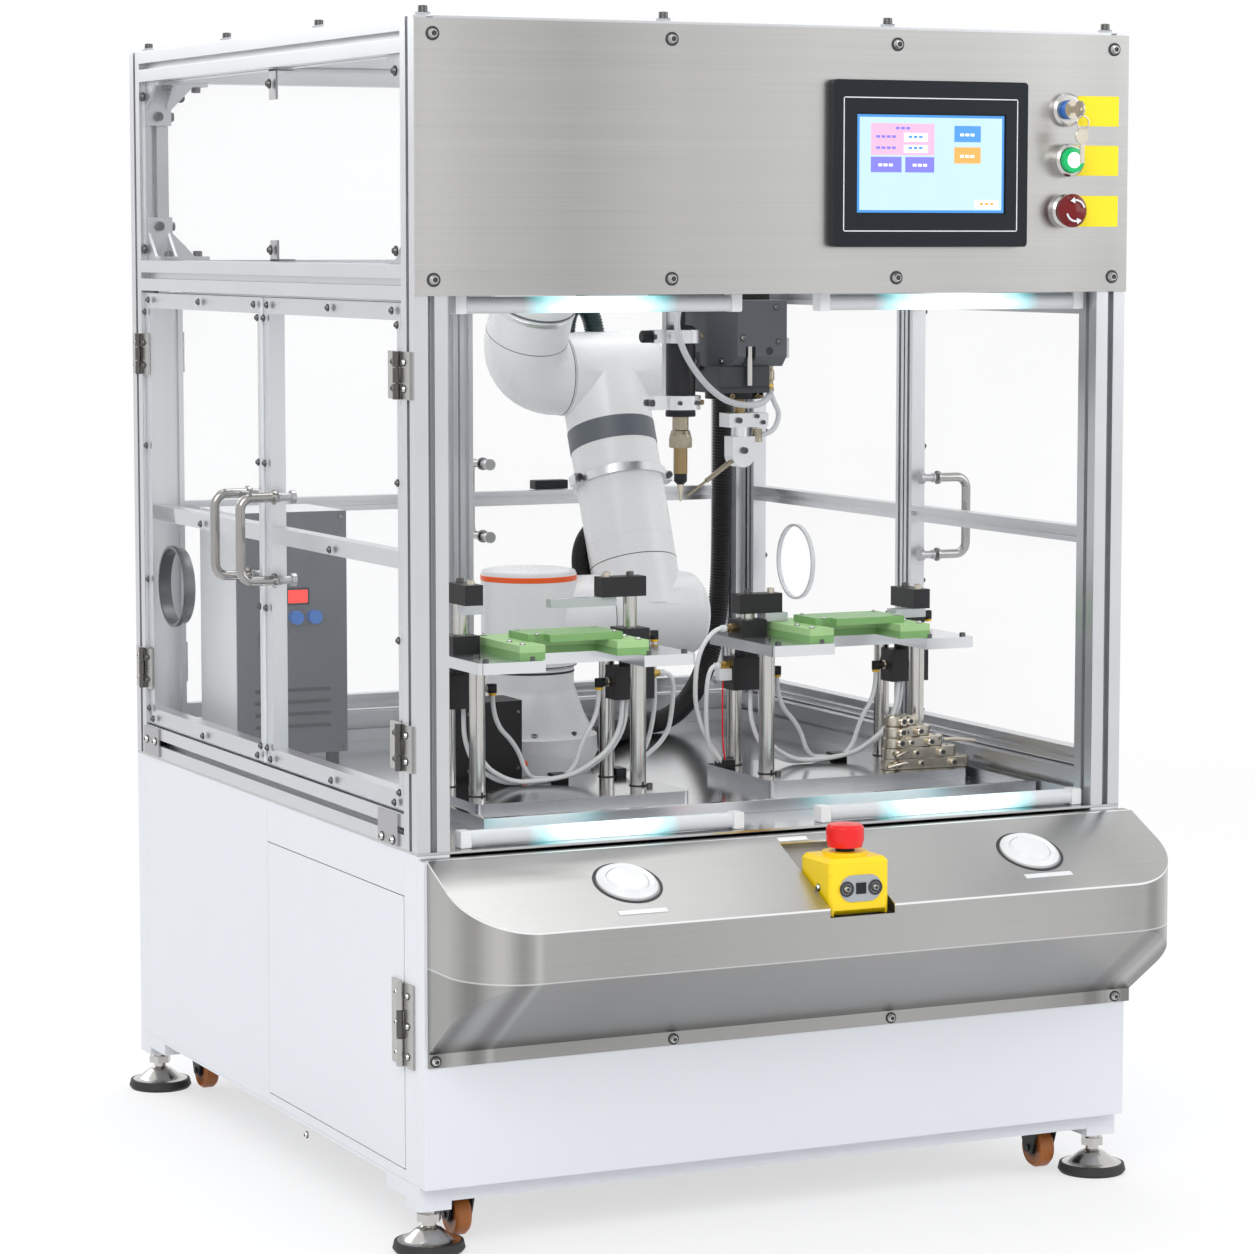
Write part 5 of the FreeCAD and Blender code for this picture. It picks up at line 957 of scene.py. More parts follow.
# %% Profiles, castings and panes
cage = Piece("cage_profiles", "cabinet", "anodised_profile")
cage.solids("frame_profiles", PROFILE, 0.4)
END_PLATE, END_THICK = 60.0, 2.5
END_LOW, END_HIGH = 404.0, 442.0
END_HOLES = (14.0, 47.0)
end_screws = []
for start, up in ((54.0, 6.0), (DEPTH - 96.0, 20.0)):
    cage.block((-END_THICK, start, END_LOW), (0, start + END_PLATE, END_HIGH), CLIP_STEEL, 0.5)
    cage.block((WIDTH, start, END_LOW), (WIDTH + END_THICK, start + END_PLATE, END_HIGH), CLIP_STEEL, 0.5)
    for along in END_HOLES:
        end_screws.append(((-END_THICK, start + along, END_LOW + up), LEFT, 11.0))
        end_screws.append(((WIDTH + END_THICK, start + along, END_LOW + up), RIGHT, 11.0))
for start in (54.0, WIDTH - 114.0):
    cage.block((start, DEPTH, END_LOW), (start + END_PLATE, DEPTH + END_THICK, END_HIGH), CLIP_STEEL, 0.5)
    for along in END_HOLES:
        end_screws.append(((start + along, DEPTH + END_THICK, END_LOW + 12), BACK, 11.0))
CLIP_FRONT, CLIP_BACK, CLIP_THICK, CLIP_REACH = 460.0, 484.0, 3.0, 24.0
for inner, side in ((8.0, 1), (WIDTH - 8.0, -1)):
    for low, high, lip in ((1262.0, 1299.0, 1296.0), (1066.0, 1092.0, 1066.0)):
        cage.block((inner, CLIP_FRONT, low), (inner + CLIP_THICK * side, CLIP_BACK, high), CLIP_STEEL, 0.4)
        cage.block((inner, CLIP_FRONT, lip), (inner + CLIP_REACH * side, CLIP_BACK, lip + CLIP_THICK),
                   CLIP_STEEL, 0.4)
cage.done()


def pane_rule(low, high):
    """Clear on the two wide faces, white on the cut edges."""
    size = high - low
    thin = min(range(3), key=lambda k: size[k])
    return lambda middle, face: PANE if abs(face.normal[thin]) > 0.9 else PANE_EDGE


HINGE_THICK = 3.0
CASTINGS_FROM = 1060.0


def hinge_faces(middle, face):
    """Bright leaves, and a dark knuckle where the hinge stands further out."""
    proud = max(-middle.x, middle.x - WIDTH, middle.y - DEPTH)
    return KNUCKLE if proud > HINGE_THICK + 0.3 else HINGE_STEEL


def bracket_rule(low, high):
    """Castings above and hinge halves below."""
    return CAST if low.z > CASTINGS_FROM else hinge_faces


plain("corner_castings", "cabinet", "cast_bracket", "corner_brackets", bracket_rule, 0.5)
plain("window_sheets", "cabinet", "clear_pane", "window_panels", pane_rule, 0.0)

# %% Bolts of the cage
GUSSET_LANE = 23.8
GUSSET_BOLT = 45.0
GUSSET_WALL = 5.0
casting_bolts = []
for level, up in ((1065.0, 1), (1300.0, -1)):
    for x, y, along in ((GUSSET_LANE, 40.0, BACK), (GUSSET_LANE, DEPTH - 40, FRONT),
                        (WIDTH - GUSSET_LANE, 40.0, BACK), (WIDTH - GUSSET_LANE, DEPTH - 40, FRONT),
                        (40.0, DEPTH - GUSSET_LANE, RIGHT), (WIDTH - 40, DEPTH - GUSSET_LANE, LEFT)):
        foot = Vector((x, y, level))
        casting_bolts.append((foot + along * GUSSET_BOLT + UP * (GUSSET_WALL * up), UP * up, 13.0))
        casting_bolts.append((foot + along * GUSSET_WALL + UP * (GUSSET_BOLT * up), along, 13.0))
screws("casting_bolt_heads", "cabinet", "black_steel", casting_bolts, **CAP)

ROOF_TOP = FRAME_TOP + 3
roof_spots = [(x, y) for x in (20.0, WIDTH - 20) for y in (20.0, 343.0, 668.0, 977.0)]
roof_spots += [(x, y) for x in (317.0, 610.0) for y in (20.0, DEPTH - 20)]
roof_bolts = [((x, y, ROOF_TOP), UP, 17.0) for x, y in roof_spots]
screws("roof_bolt_heads", "cabinet", "switch_metal", roof_bolts, **WASHER_BOLT)
screws("end_plate_screws", "cabinet", "switch_metal", end_screws, **BUTTON)

window_screws = []
for z in (1080.0, 1281.0):
    for y in (64.0, 472.0, DEPTH - 45):
        window_screws.append(((4.0, y, z), LEFT, 12.0))
        window_screws.append(((WIDTH - 4.0, y, z), RIGHT, 12.0))
    for x in (70.0, WIDTH - 70):
        window_screws.append(((x, DEPTH - 4.0, z), BACK, 12.0))
screws("window_screw_heads", "cabinet", "black_steel", window_screws, **DARK_BUTTON)

# %% [markdown]
# ## Door leaves
# Each leaf is measured from its own hinge corner: a length along the leaf, a height, and a distance
# outward. One small function turns these into a place, so all six leaves share the same lists.

# %% Door leaves
LEAVES = {
    "left_front": ((0.0, 40.0), BACK, LEFT, 458.5),
    "left_rear": ((0.0, DEPTH - 40), FRONT, LEFT, 458.5),
    "right_front": ((WIDTH, 40.0), BACK, RIGHT, 458.5),
    "right_rear": ((WIDTH, DEPTH - 40), FRONT, RIGHT, 458.5),
    "back_left": ((40.0, DEPTH), RIGHT, BACK, 423.5),
    "back_right": ((WIDTH - 40, DEPTH), LEFT, BACK, 423.5),
}
HINGE_HOLES = [level + up for level in (493.0, 914.0) for up in (12, 42)]
SERVICE_HOLES = (166.0, 201.0, 236.0)
HANDLE_LEVELS = (677.0, 779.0)
SHEET_LEVELS = (997, 819, 640, 466)
RAIL_LEVELS = (453, 1013)
MIDDLE_RAIL = 728
PORT_ALONG, PORT_UP, PORT_RADIUS = 112.0, 638.0, 50.0
PORT_DEEP = 16.0


def leaf_rule(low, high):
    """Hinge halves are the shortest solids, handles the next, and all longer ones are profile."""
    return hinge_faces if max(high - low) < 60 else (CHROME if max(high - low) < 125 else PROFILE)


def on_leaf(leaf, along, up, out=0.0):
    """A place on a leaf: along it from its hinge corner, up, and outward."""
    (x, y), run, outward, _ = LEAVES[leaf]
    return Vector((x, y, up)) + run * along + outward * out


hinge_screws = []
for leaf, (_, run, outward, width) in LEAVES.items():
    door = Piece(leaf + "_leaf_frame", leaf + "_leaf", "anodised_profile")
    door.solids(leaf + "_door", leaf_rule, 0.4)
    if leaf != "right_rear":
        for up in HANDLE_LEVELS:
            door.turned(((0, 0), (6, 0), (6, 3), (5, 4), (5, 16), (8, 16), (8, 22), (0, 22)),
                        on_leaf(leaf, width - 45, up, -4), -outward, CLIP_STEEL, 20)
    # The rim of the left rear port and the sleeve inside it are painted dark as shade in the hole; the rim of
    # the right rear port is painted white as a highlight.
    if leaf in ("left_rear", "right_rear"):
        rim = PORT_SHADE if leaf == "left_rear" else WHITE_PLASTIC
        door.turned(ring(PORT_RADIUS + 0.3, PORT_RADIUS + 3.5, 6),
                    on_leaf(leaf, PORT_ALONG, PORT_UP, -5), outward, rim, 64)
    if leaf == "left_rear":
        door.turned(ring(PORT_RADIUS - 0.9, PORT_RADIUS - 0.1, PORT_DEEP),
                    on_leaf(leaf, PORT_ALONG, PORT_UP, 0.5 - PORT_DEEP), outward, PORT_SHADE, 64)
    if leaf == "back_right":
        door.block(on_leaf(leaf, 258, 742, -24), on_leaf(leaf, 309, 755, -4), BLACK_PLASTIC, 2.0)
    door.done()
    plain(leaf + "_leaf_sheet", leaf + "_leaf", "clear_pane", leaf + "_pane", pane_rule, 0.0)
    spots = [(along, z) for along in (13.0, width - 10) for z in SHEET_LEVELS]
    spots += [(along, z) for along in (28.0, width / 2, width - 22) for z in RAIL_LEVELS]
    spots.append((width / 2, MIDDLE_RAIL))
    places = [(on_leaf(leaf, along, up), outward, 9.0) for along, up in spots]
    for up in HINGE_HOLES:
        places.append((on_leaf(leaf, 17, up, HINGE_THICK), outward, 9.0))
        hinge_screws.append((on_leaf(leaf, -16, up, HINGE_THICK), outward, 9.0))
    screws(leaf + "_leaf_screws", leaf + "_leaf", "black_steel", places, **DARK_BUTTON)
hinge_screws += [((-HINGE_THICK, 24.0, z), LEFT, 9.0) for z in SERVICE_HOLES]
screws("hinge_screw_heads", "cabinet", "switch_metal", hinge_screws, **BUTTON)

# %% Service door
plain("service_door_pan", "service_door_leaf", "white_enamel", "service_door",
      lambda low, high: ENAMEL if high.x > 5 else HINGE_STEEL, 0.8)
service_screws = [((-HINGE_THICK, 57.0, z), LEFT, 9.0) for z in SERVICE_HOLES]
screws("service_door_screws", "service_door_leaf", "switch_metal", service_screws, **BUTTON)
screws("panel_screw", "cabinet", "switch_metal", [((0.0, 361.0, 5.0), LEFT, 9.0)], **BUTTON)

# %% [markdown]
# ## Fascia and console
# Both are brushed stainless sheet. The brush lines run from left to right. The folds of the console
# are bent, not sharp corners, so they get a rounder edge than a cut sheet. Both sheets carry painted
# reflection bands in their colour, and the console also has painted highlights along its folds and
# painted shade on its slope and chin.

# %% Fascia and console
SLOPE_TURN = Matrix.Rotation(math.atan(SLOPE_RISE), 3, "X")
START_X = (221.0, WIDTH - 179.0)
START_Y = SLOPE_BACK - 72.0 * math.cos(math.atan(SLOPE_RISE))


def on_slope(x, y, lift=0.0):
    """A place on the console's slope, lifted square off it."""
    return Vector((x, y, SLOPE_TOP + (y - SLOPE_BACK) * SLOPE_RISE)) + SLOPE_TURN @ Vector((0, 0, lift))


plain("fascia_sheet", "cabinet", "brushed_steel", "fascia_panel", STEEL_SHEET, 0.3)

console = Piece("console_sheet", "cabinet", "brushed_steel")
console.solids("console_cover", CONSOLE_SHEET, 0.5)
# A thin black ring round each start button is painted shade for the gap round it.
for x in START_X:
    console.turned(ring(37.5, 41.0, 0.5), on_slope(x + 0.8, START_Y, 0.1), SLOPE_TURN @ UP, SEAM_AND_SHADE, 64)
for x, y, wide in ((216.0, -138.5, 60.0), (750.0, -131.5, 64.0), (463.0, -28.0, 38.0)):
    middle = on_slope(x, y, 0.3)
    half = Vector((wide / 2, 4.0, 0.5))
    console.block(middle - half, middle + half, WHITE_PLASTIC, 0.2, SLOPE_TURN)
console.done()

sheet_screws = [((x, -3.0, z), FRONT, 16.0) for x in (22.0, 317.0, 611.0, 909.0)
                for z in (1048.0, 1320.0)]
sheet_screws += [((x, -20.0, 167.5), FRONT, 13.5) for x in (13.0, 312.0, 601.0, 915.0)]
screws("sheet_screw_heads", "cabinet", "switch_metal", sheet_screws, **BUTTON)

# %% [markdown]
# ## Controls
# The screen shows a plain layout in the colours of the photograph, with no words on it. The plates
# beside the switches are bare. All of it is flat, so thin blocks on the glass are enough.

# %% Touch screen
screen = Piece("screen_housing", "cabinet", "black_bezel")
screen.solids("touchscreen", BEZEL, 1.2, 3)
GLASS_Y = -13.5


def lit_field(x0, x1, z0, z1, finish, proud):
    """A lit block on the glass. Fields that overlap differ in how far they are proud of it."""
    screen.block((x0, GLASS_Y - proud, z0), (x1, GLASS_Y + 0.2, z1), finish, 0.0)


FIELDS = (
    (552, 750, 1124, 1238, DISPLAY_EDGE, 0.1), (555, 747, 1127, 1235, DISPLAY, 0.25),
    (570, 655, 1191, 1228, PANEL_PINK, 0.35), (614, 646, 1207, 1217, PANEL_WHITE, 0.5),
    (614, 646, 1194, 1203, PANEL_WHITE, 0.5), (570, 611, 1171, 1189, PANEL_VIOLET, 0.35),
    (616, 655, 1171, 1189, PANEL_VIOLET, 0.35), (682, 718, 1207, 1226, PANEL_BLUE, 0.35),
    (682, 718, 1182, 1201, PANEL_ORANGE, 0.35), (710, 743, 1129, 1139, PANEL_WHITE, 0.5),
)
DASHES = (
    (577, 1211, 4, PANEL_VIOLET), (577, 1198, 4, PANEL_VIOLET), (603, 1221, 3, PANEL_VIOLET),
    (620, 1211, 3, PANEL_BLUE), (620, 1198, 3, PANEL_BLUE), (580, 1178, 3, PANEL_WHITE),
    (626, 1178, 3, PANEL_WHITE), (690, 1214, 3, PANEL_WHITE), (690, 1189, 3, PANEL_WHITE),
    (717, 1133, 3, PANEL_ORANGE),
)
for x0, x1, z0, z1 in ((533, 768, 1256.8, 1258), (533, 768, 1102, 1103.2), (533, 534.2, 1102, 1258),
                       (766.8, 768, 1102, 1258)):
    screen.block((x0, -15.25, z0), (x1, -14.9, z1), CASE_WHITE, 0.0)
for field in FIELDS:
    lit_field(*field)
for x0, z0, count, finish in DASHES:
    for k in range(count):
        lit_field(x0 + 7 * k, x0 + 7 * k + 5, z0, z0 + 3, finish, 0.65)
screen.done()

# %% Switches
SWITCH_X = 841.0
KEY_Z, RUN_Z, STOP_Z = 1247.0, 1187.0, 1127.0


def collar_rule(low, high):
    """Barrels behind the sheet are black, panel collars steel, and the start rings white."""
    return BLACK_PLASTIC if high.y > 5 else (STAINLESS if low.z > 1000 else WHITE_PLASTIC)


def two_tone(axis, edge, below, above):
    """A rule for solids with one finish below a height on an axis and another above it."""
    return lambda low, high: lambda middle, face: below if middle[axis] < edge else above


collars = Piece("switch_collars", "cabinet", "switch_metal")
collars.solids("switch_bezels", collar_rule, 0.5)
for z0, z1 in ((1228.0, 1264.0), (1169.0, 1205.0), (1108.0, 1145.0)):
    collars.block((858.0, -3.7, z0), (916.0, -2.9, z1), LABEL_YELLOW, 0.25)
collars.done()

key = Piece("key_rotor", "power_key", "blue_rotor")
key.solids("power_key", two_tone(1, -16.0, NICKEL, BLUE), 0.4)
loop = []
for k in range(17):
    angle = k * math.pi / 8
    loop.append((SWITCH_X + 8 * math.sin(angle), -43.0, KEY_Z - 16 - 8 * math.cos(angle)))
key.tube(loop, 0.9, NICKEL, 8, 1)
key.turned(((0, 0), (9, 0), (9.5, 0.5), (9.5, 1.7), (9, 2.2), (0, 2.2)),
           (SWITCH_X - 1, -42.0, KEY_Z - 32), FRONT, NICKEL, 24)
key.block((SWITCH_X - 4, -43.8, KEY_Z - 64), (SWITCH_X + 2, -42.2, KEY_Z - 38), NICKEL, 0.3)
key.done()

run = Piece("run_lens", "run_button", "green_lens")
run.solids("run_button", GREEN_RING, 0.0)
RUN_FACE = (SWITCH_X, extent("run_button")[0].y + 0.2, RUN_Z)
LENS = 9.4
run.turned(((0, 0), (LENS, 0), (LENS, 0.6), (8.4, 1.4), (5.0, 1.9), (0, 2.0)), RUN_FACE, FRONT,
           LAMP_WHITE, 40)
run.turned(((LENS, 0), (14.6, 0), (14.6, 0.6), (12.0, 1.2), (LENS, 1.2), (LENS, 0)), RUN_FACE, FRONT,
           GREEN_RING, 48)
run.done()

stop = Piece("panel_stop_knob", "panel_stop", "red_plastic")
stop.solids("panel_stop", DARK_RED, 0.0)
ARROW_BOW = 12.5
for turn in (0.3, 0.3 + math.pi):
    bow = []
    for k in range(8):
        angle = turn + k * 0.2
        bow.append((SWITCH_X + ARROW_BOW * math.cos(angle), -29.1, STOP_Z + ARROW_BOW * math.sin(angle)))
    stop.tube(bow, 1.3, WHITE_PLASTIC, 8, 1)
    end, side = Vector(bow[-1]), turn + 1.4
    ahead = Vector((-math.sin(side), 0, math.cos(side)))
    across = Vector((math.cos(side), 0, math.sin(side)))
    stop.prism((end + across * 3.8, end - across * 3.8, end + ahead * 6.4), (0, -1.0, 0), WHITE_PLASTIC, 0.1)
stop.done()

for side in ("left", "right"):
    plain(side + "_start_cap", side + "_start_button", "white_plastic", side + "_start_button",
          WHITE_PLASTIC, 0.0)

# %% Stop box
STOP_PLATE_X, STOP_PLATE_Z = 486.0, 352.5
STOP_EYES = (STOP_PLATE_X - 18.5, STOP_PLATE_X + 18.5)


def knob_rule(low, high):
    """A red mushroom above its black stem."""
    return lambda middle, face: RED if middle.z > low.z + 22 else BLACK_PLASTIC


def stadium(middle, half_wide, half_high, steps=10):
    """A flat outline with round ends, upright across the front."""
    points = []
    for end, start in ((1, -math.pi / 2), (-1, math.pi / 2)):
        for k in range(steps + 1):
            turn = start + math.pi * k / steps
            across = (half_wide - half_high) * end + half_high * math.cos(turn)
            points.append(Vector(middle) + Vector((across, 0, half_high * math.sin(turn))))
    return points


box = Piece("stop_housing", "cabinet", "yellow_plastic")
box.solids("stop_box", lambda low, high: YELLOW if high.z > 330 else BLACK_PLASTIC, 1.2, 3, 9.0, 40.0)
box.prism(stadium((STOP_PLATE_X, -151.8, STOP_PLATE_Z), 27.0, 15.5), (0, -1.6, 0), STOP_PLATE, 0.4)
for x in STOP_EYES:
    box.turned(ring(6.4, 9.0, 1.2), (x, -153.0, STOP_PLATE_Z), FRONT, SEAM_AND_SHADE, 32)
box.block((STOP_PLATE_X - 6.5, -154.2, STOP_PLATE_Z - 6.5), (STOP_PLATE_X + 6.5, -153.2, STOP_PLATE_Z + 6.5),
          BLACK_PLASTIC, 0.3)
box.turned(((0, 0), (3.6, 0), (3.6, 3.0), (2.8, 3.6), (0, 3.6)), (450.0, -148.0, 372.0), LEFT + FRONT,
           YELLOW, 20)
box.done()
box_screws = [((x, -153.4, STOP_PLATE_Z), FRONT, 11.0) for x in STOP_EYES]
box_screws.append(((446.0, -125.0, 352.0), LEFT, 9.0))
screws("stop_box_screws", "cabinet", "switch_metal", box_screws, **BUTTON)

plain("box_stop_knob", "box_stop", "red_plastic", "box_stop", knob_rule, 0.0)

# %% Light bars
caps = []


def bar_rule(low, high):
    """The long bars give light. Their end caps are kept back and made as blocks."""
    if high.x - low.x > 100:
        return DIFFUSER
    caps.append((low, high))
    return None


bars = Piece("light_tubes", "cabinet", "white_diffuser")
bars.solids("light_bars", bar_rule, 0.6)
for low, high in caps:
    bars.block(low, high, WHITE_PLASTIC, min(high - low) * 0.2)
bars.done()

# %% [markdown]
# ## Fixtures
# Ground plates on round posts carry the green laminate carriers. Small cylinders with black heads
# hold the boards down. White air lines end in push-in fittings with coloured release rings. Both
# fixtures are alike, so everything is measured from the corner of each top plate.

# %% Stands and carriers
TOP_PLATES = ((179.0, 236.0), (591.0, 266.0))
BASE_Z, PLATE_Z, CARRIER_Z = 418.0, 587.0, 605.0
stands = Piece("fixture_plates", "cabinet", "ground_steel")


def stand_rule(low, high):
    """Bright posts, top plates all alike, and base plates whose polished top is painted darker as a painted
    reflection.
    """
    if high.x - low.x < 25 and high.z > 500:
        return STAINLESS
    if low.z > 500:
        return GROUND
    # The top face of a base plate is painted darker: a painted reflection.
    return lambda middle, face: PLATE_TOP_PAINTED_REFLECTION if face.normal.z > 0.9 else GROUND


stands.solids("fixture_stands", stand_rule, 0.6)
plate_screws, carrier_screws = [], []
for x, y in TOP_PLATES:
    for along in (23.0, 240.0):
        for back, aside in ((64.0, -16.0), (156.0, 16.0)):
            # A thin black ring round the foot of each post is a painted contact shadow on the base plate.
            stands.turned(ring(10.2, 11.2, 1.2), (x + along, y + back, BASE_Z), UP, SEAM_AND_SHADE, 28)
            plate_screws.append(((x + along, y + back, PLATE_Z - 1), UP, 9.0))
            plate_screws.append(((x + along + 8, y + back + aside, BASE_Z), UP, 8.0))
    for along, back in ((12.0, 12.0), (278.0, 12.0), (74.0, 14.0), (230.0, 14.0)):
        plate_screws.append(((x + along, y + back, PLATE_Z), UP, 8.0))
    for along, back in ((66.0, 24.0), (221.0, 24.0), (66.0, 64.0), (221.0, 64.0), (66.0, 144.0),
                        (145.0, 148.0), (222.0, 144.0)):
        carrier_screws.append(((x + along, y + back, CARRIER_Z), UP, 8.0))
    for along, back in ((94.0, 44.0), (198.0, 44.0), (94.0, 104.0), (198.0, 104.0)):
        carrier_screws.append(((x + along, y + back, CARRIER_Z + 9), UP, 6.0))
stands.done()
screws("plate_screw_heads", "cabinet", "black_steel", plate_screws, **CAP)
screws("carrier_screw_heads", "cabinet", "switch_metal", carrier_screws, **BUTTON)

plain("laminate_carriers", "cabinet", "green_laminate", "board_carriers",
      lambda low, high: LAMINATE_EDGE if 590 < low.z < 600 else LAMINATE)

# %% Cylinders and air lines
FITTING_BACK = 130.0
cylinders = Piece("clamp_bodies", "cabinet", "black_anodised")
cylinders.solids("clamp_cylinders", BLACK_METAL, 0.5)


def elbow(place, out):
    """A push-in elbow with its yellow release ring. Gives the start of its tube, which turns down."""
    place, down = Vector(place), Vector(place) + out * 16
    cylinders.turned(((0, 0), (6.5, 0), (6.5, 4), (4.6, 4), (4.6, 12), (0, 12)), place, out, NICKEL, 6)
    cylinders.turned(disc(5.6, 10), place + out * 9, out, BLACK_PLASTIC, 20)
    cylinders.turned(disc(5.4, 11), down + UP * 5, DOWN, BLACK_PLASTIC, 20)
    cylinders.turned(disc(5.0, 3), down + DOWN * 6, DOWN, RING_YELLOW, 20)
    return down + DOWN * 8


def fitting(place, out, metal):
    """A straight fitting: a nut and a white collar. Gives the start of its tube."""
    place = Vector(place)
    cylinders.turned(((0, 0), (6.8, 0), (6.8, 7), (4.8, 8), (4.8, 14), (0, 14)), place, out, metal, 6)
    cylinders.turned(disc(4.6, 7), place + out * 13, out, WHITE_PLASTIC, 20)
    return place + out * 19


lines = Piece("air_lines", "cabinet", "white_tube")
lines.solids("air_tubes", WHITE_TUBE, 0.0)


def air_line(corner, start, lead, *places):
    """A tube that leaves a fitting along lead and passes near places beside the corner."""
    near = [(corner[0] + along, corner[1] + behind, z) for along, behind, z in places]
    lines.tube((start, start + lead, *near), 3.0, WHITE_TUBE, 12, 10)


def manifold(corner, low, high):
    """A black block on the base plate where tubes end, from low to high beside the corner."""
    cylinders.block((corner[0] + low[0], corner[1] + low[1], BASE_Z),
                    (corner[0] + high[0], corner[1] + high[1], BASE_Z + 10), BLACK_PLASTIC, 1.0)


for x, y in TOP_PLATES:
    back = y + FITTING_BACK
    corner = (x, back)
    outer = elbow((x + 56, back, 541), RIGHT)
    inner = elbow((x + 233, back, 541), LEFT)
    air_line(corner, outer, DOWN * 34, (108, 6, 466), (124, 12, 424), (150, 14, 422), (170, 14, 421))
    air_line(corner, inner, DOWN * 30, (196, 4, 470), (184, 8, 424), (160, 8, 421))
    manifold(corner, (156, 1), (176, 22))
    if (x, y) == TOP_PLATES[0]:
        high = elbow((x + 278, back, 598), RIGHT)
        low = fitting((x + 287, back, 549), RIGHT, GOLD)
        air_line(corner, high, DOWN * 40, (300, 10, 500), (290, 20, 440), (262, 26, 422))
        air_line(corner, low, RIGHT * 12, (324, 4, 520), (318, 16, 450), (262, 34, 422))
        manifold(corner, (250, 18), (264, 42))
    else:
        high = fitting((x + 11, back, 598), LEFT, BRASS)
        low = fitting((x + 2, back, 550), LEFT, GOLD)
        air_line(corner, high, LEFT * 12, (-44, 4, 560), (-40, 10, 470), (2, 14, 422))
        air_line(corner, low, LEFT * 8, (-30, 2, 510), (-24, 8, 440), (2, 24, 422))
        lines.tube(((x - 8, back - 4, 534), (x - 9, back - 4, 500), (x - 6, back, 440),
                    (x + 2, back + 6, 421)), 1.1, RED, 8, 8)
        cylinders.block((x - 16, back - 10, 532), (x + 2, back + 2, 547), WHITE_PLASTIC, 1.2)
        manifold(corner, (-2, 0), (12, 32))
        elbow((x + 278, back, 604), RIGHT)
cylinders.done()
lines.done()

# %% Clamp arms
CLAMPS = {
    "left_outer": (Vector((208.0, 366.0, 673.5)), FRONT),
    "left_inner": (Vector((439.0, 366.0, 673.5)), LEFT),
    "right_outer": (Vector((620.0, 396.0, 641.5)), RIGHT),
    "right_inner": (Vector((851.0, 396.0, 641.5)), FRONT),
}
HEAD_HIGH, BOLT_ALONG, PAD_HIGH = 25.5, 33.0, 20.0


def clamp_rule(top):
    """A clear pad, and a bright rod under a black head that reaches up to top."""
    rod = two_tone(2, top - HEAD_HIGH, STAINLESS, BLACK_METAL)
    return lambda low, high: CLEAR_PAD if high.z - low.z < PAD_HIGH else rod(low, high)


for name, (top, heading) in CLAMPS.items():
    body = "clamp_arm_" + name
    plain(name + "_clamp", body, "black_anodised", body, clamp_rule(top.z), 0.5)
    screws(name + "_clamp_screws", body, "black_steel", [(top, UP, 10.0)], **CAP)
    screws(name + "_clamp_bolt", body, "nickel_plate", [(top + heading * BOLT_ALONG, UP, 10.0)], **NICKEL_CAP)

# %% Controllers and levers
CASE_FACE = 780.0


def controller_rule(low, high):
    """Rubber feet, blue knobs, dark cases with pale sides, and the black mains inlet."""
    if high.z < 420:
        return RUBBER
    if high.z - low.z < 20 and low.y < CASE_FACE - 5:
        return BLUE
    if low.x > 400 or high.y - low.y < 10 and low.z > 300:
        return DARK_CASE
    if high.y > DEPTH:
        return BLACK_PLASTIC
    return BLACK_METAL if high.z < 530 else WHITE_PLASTIC


boxes = Piece("controller_cases", "cabinet", "dark_grey_case")
boxes.solids("controllers", controller_rule, 1.0)
boxes.block((134, CASE_FACE - 1.2, 613), (167, CASE_FACE, 636), BLACK_PLASTIC, 0.5)
boxes.block((137, CASE_FACE - 1.6, 616), (164, CASE_FACE - 1.0, 633), RED_DIGITS, 0.0)
boxes.block((96, CASE_FACE - 3.0, 560), (128, CASE_FACE, 578), BLACK_PLASTIC, 1.0)
for z in (450.0, 466.0, 482.0, 498.0):
    boxes.block((90, CASE_FACE - 0.6, z), (196, CASE_FACE + 0.4, z + 5), SEAM_AND_SHADE, 0.0)
boxes.turned(((0, 0), (6, 0), (6, 8), (4, 9), (4, 12), (0, 12)), (326, 460, 430), RIGHT, ORANGE, 20)
boxes.done()
case_screws = [((x, CASE_FACE, z), FRONT, 8.0) for x in (74.0, 212.0) for z in (424.0, 728.0)]
case_screws += [((x, 439.8, z), FRONT, 6.0) for x in (250.0, 318.0) for z in (428.0, 500.0)]
screws("case_screw_heads", "cabinet", "switch_metal", case_screws, **BUTTON)

levers = Piece("lever_stack", "cabinet", "nickel_plate")
lever_low, lever_high = extent("spare_levers")
LEVER_THICK, LEVER_STEP, LEVER_TURN, LEVER_HALF = 14.0, 9.0, math.radians(4.0), 61.0
LEVER_SPOT = Vector((lever_low.x + LEVER_HALF, (lever_low.y + lever_high.y) / 2, lever_low.z))
levers.solids("spare_levers", NICKEL, 4.5, 3)
for k in range(5):
    turn = Matrix.Rotation(LEVER_TURN * (k - 1), 3, "Z")
    middle = LEVER_SPOT + Vector((-LEVER_STEP * k, 0, (k + 0.5) * LEVER_THICK))
    for along, radius, reach in ((-44.0 + 9 * k, 6.2, 17.0), (-10.0, 4.5, 15.0), (34.0 - 8 * k, 5.6, 18.5)):
        pin = middle + turn @ Vector((along, -reach, 0))
        inner, long = radius - 0.8, 2 * reach
        levers.turned(((0, 0), (inner, 0), (radius, 0.8), (radius, long - 0.8), (inner, long), (0, long)),
                      pin, turn @ BACK, NICKEL, 24)
        levers.turned(disc(radius * 0.5, 0.4), pin + turn @ FRONT * 0.2, turn @ FRONT, SEAM_AND_SHADE, 16)
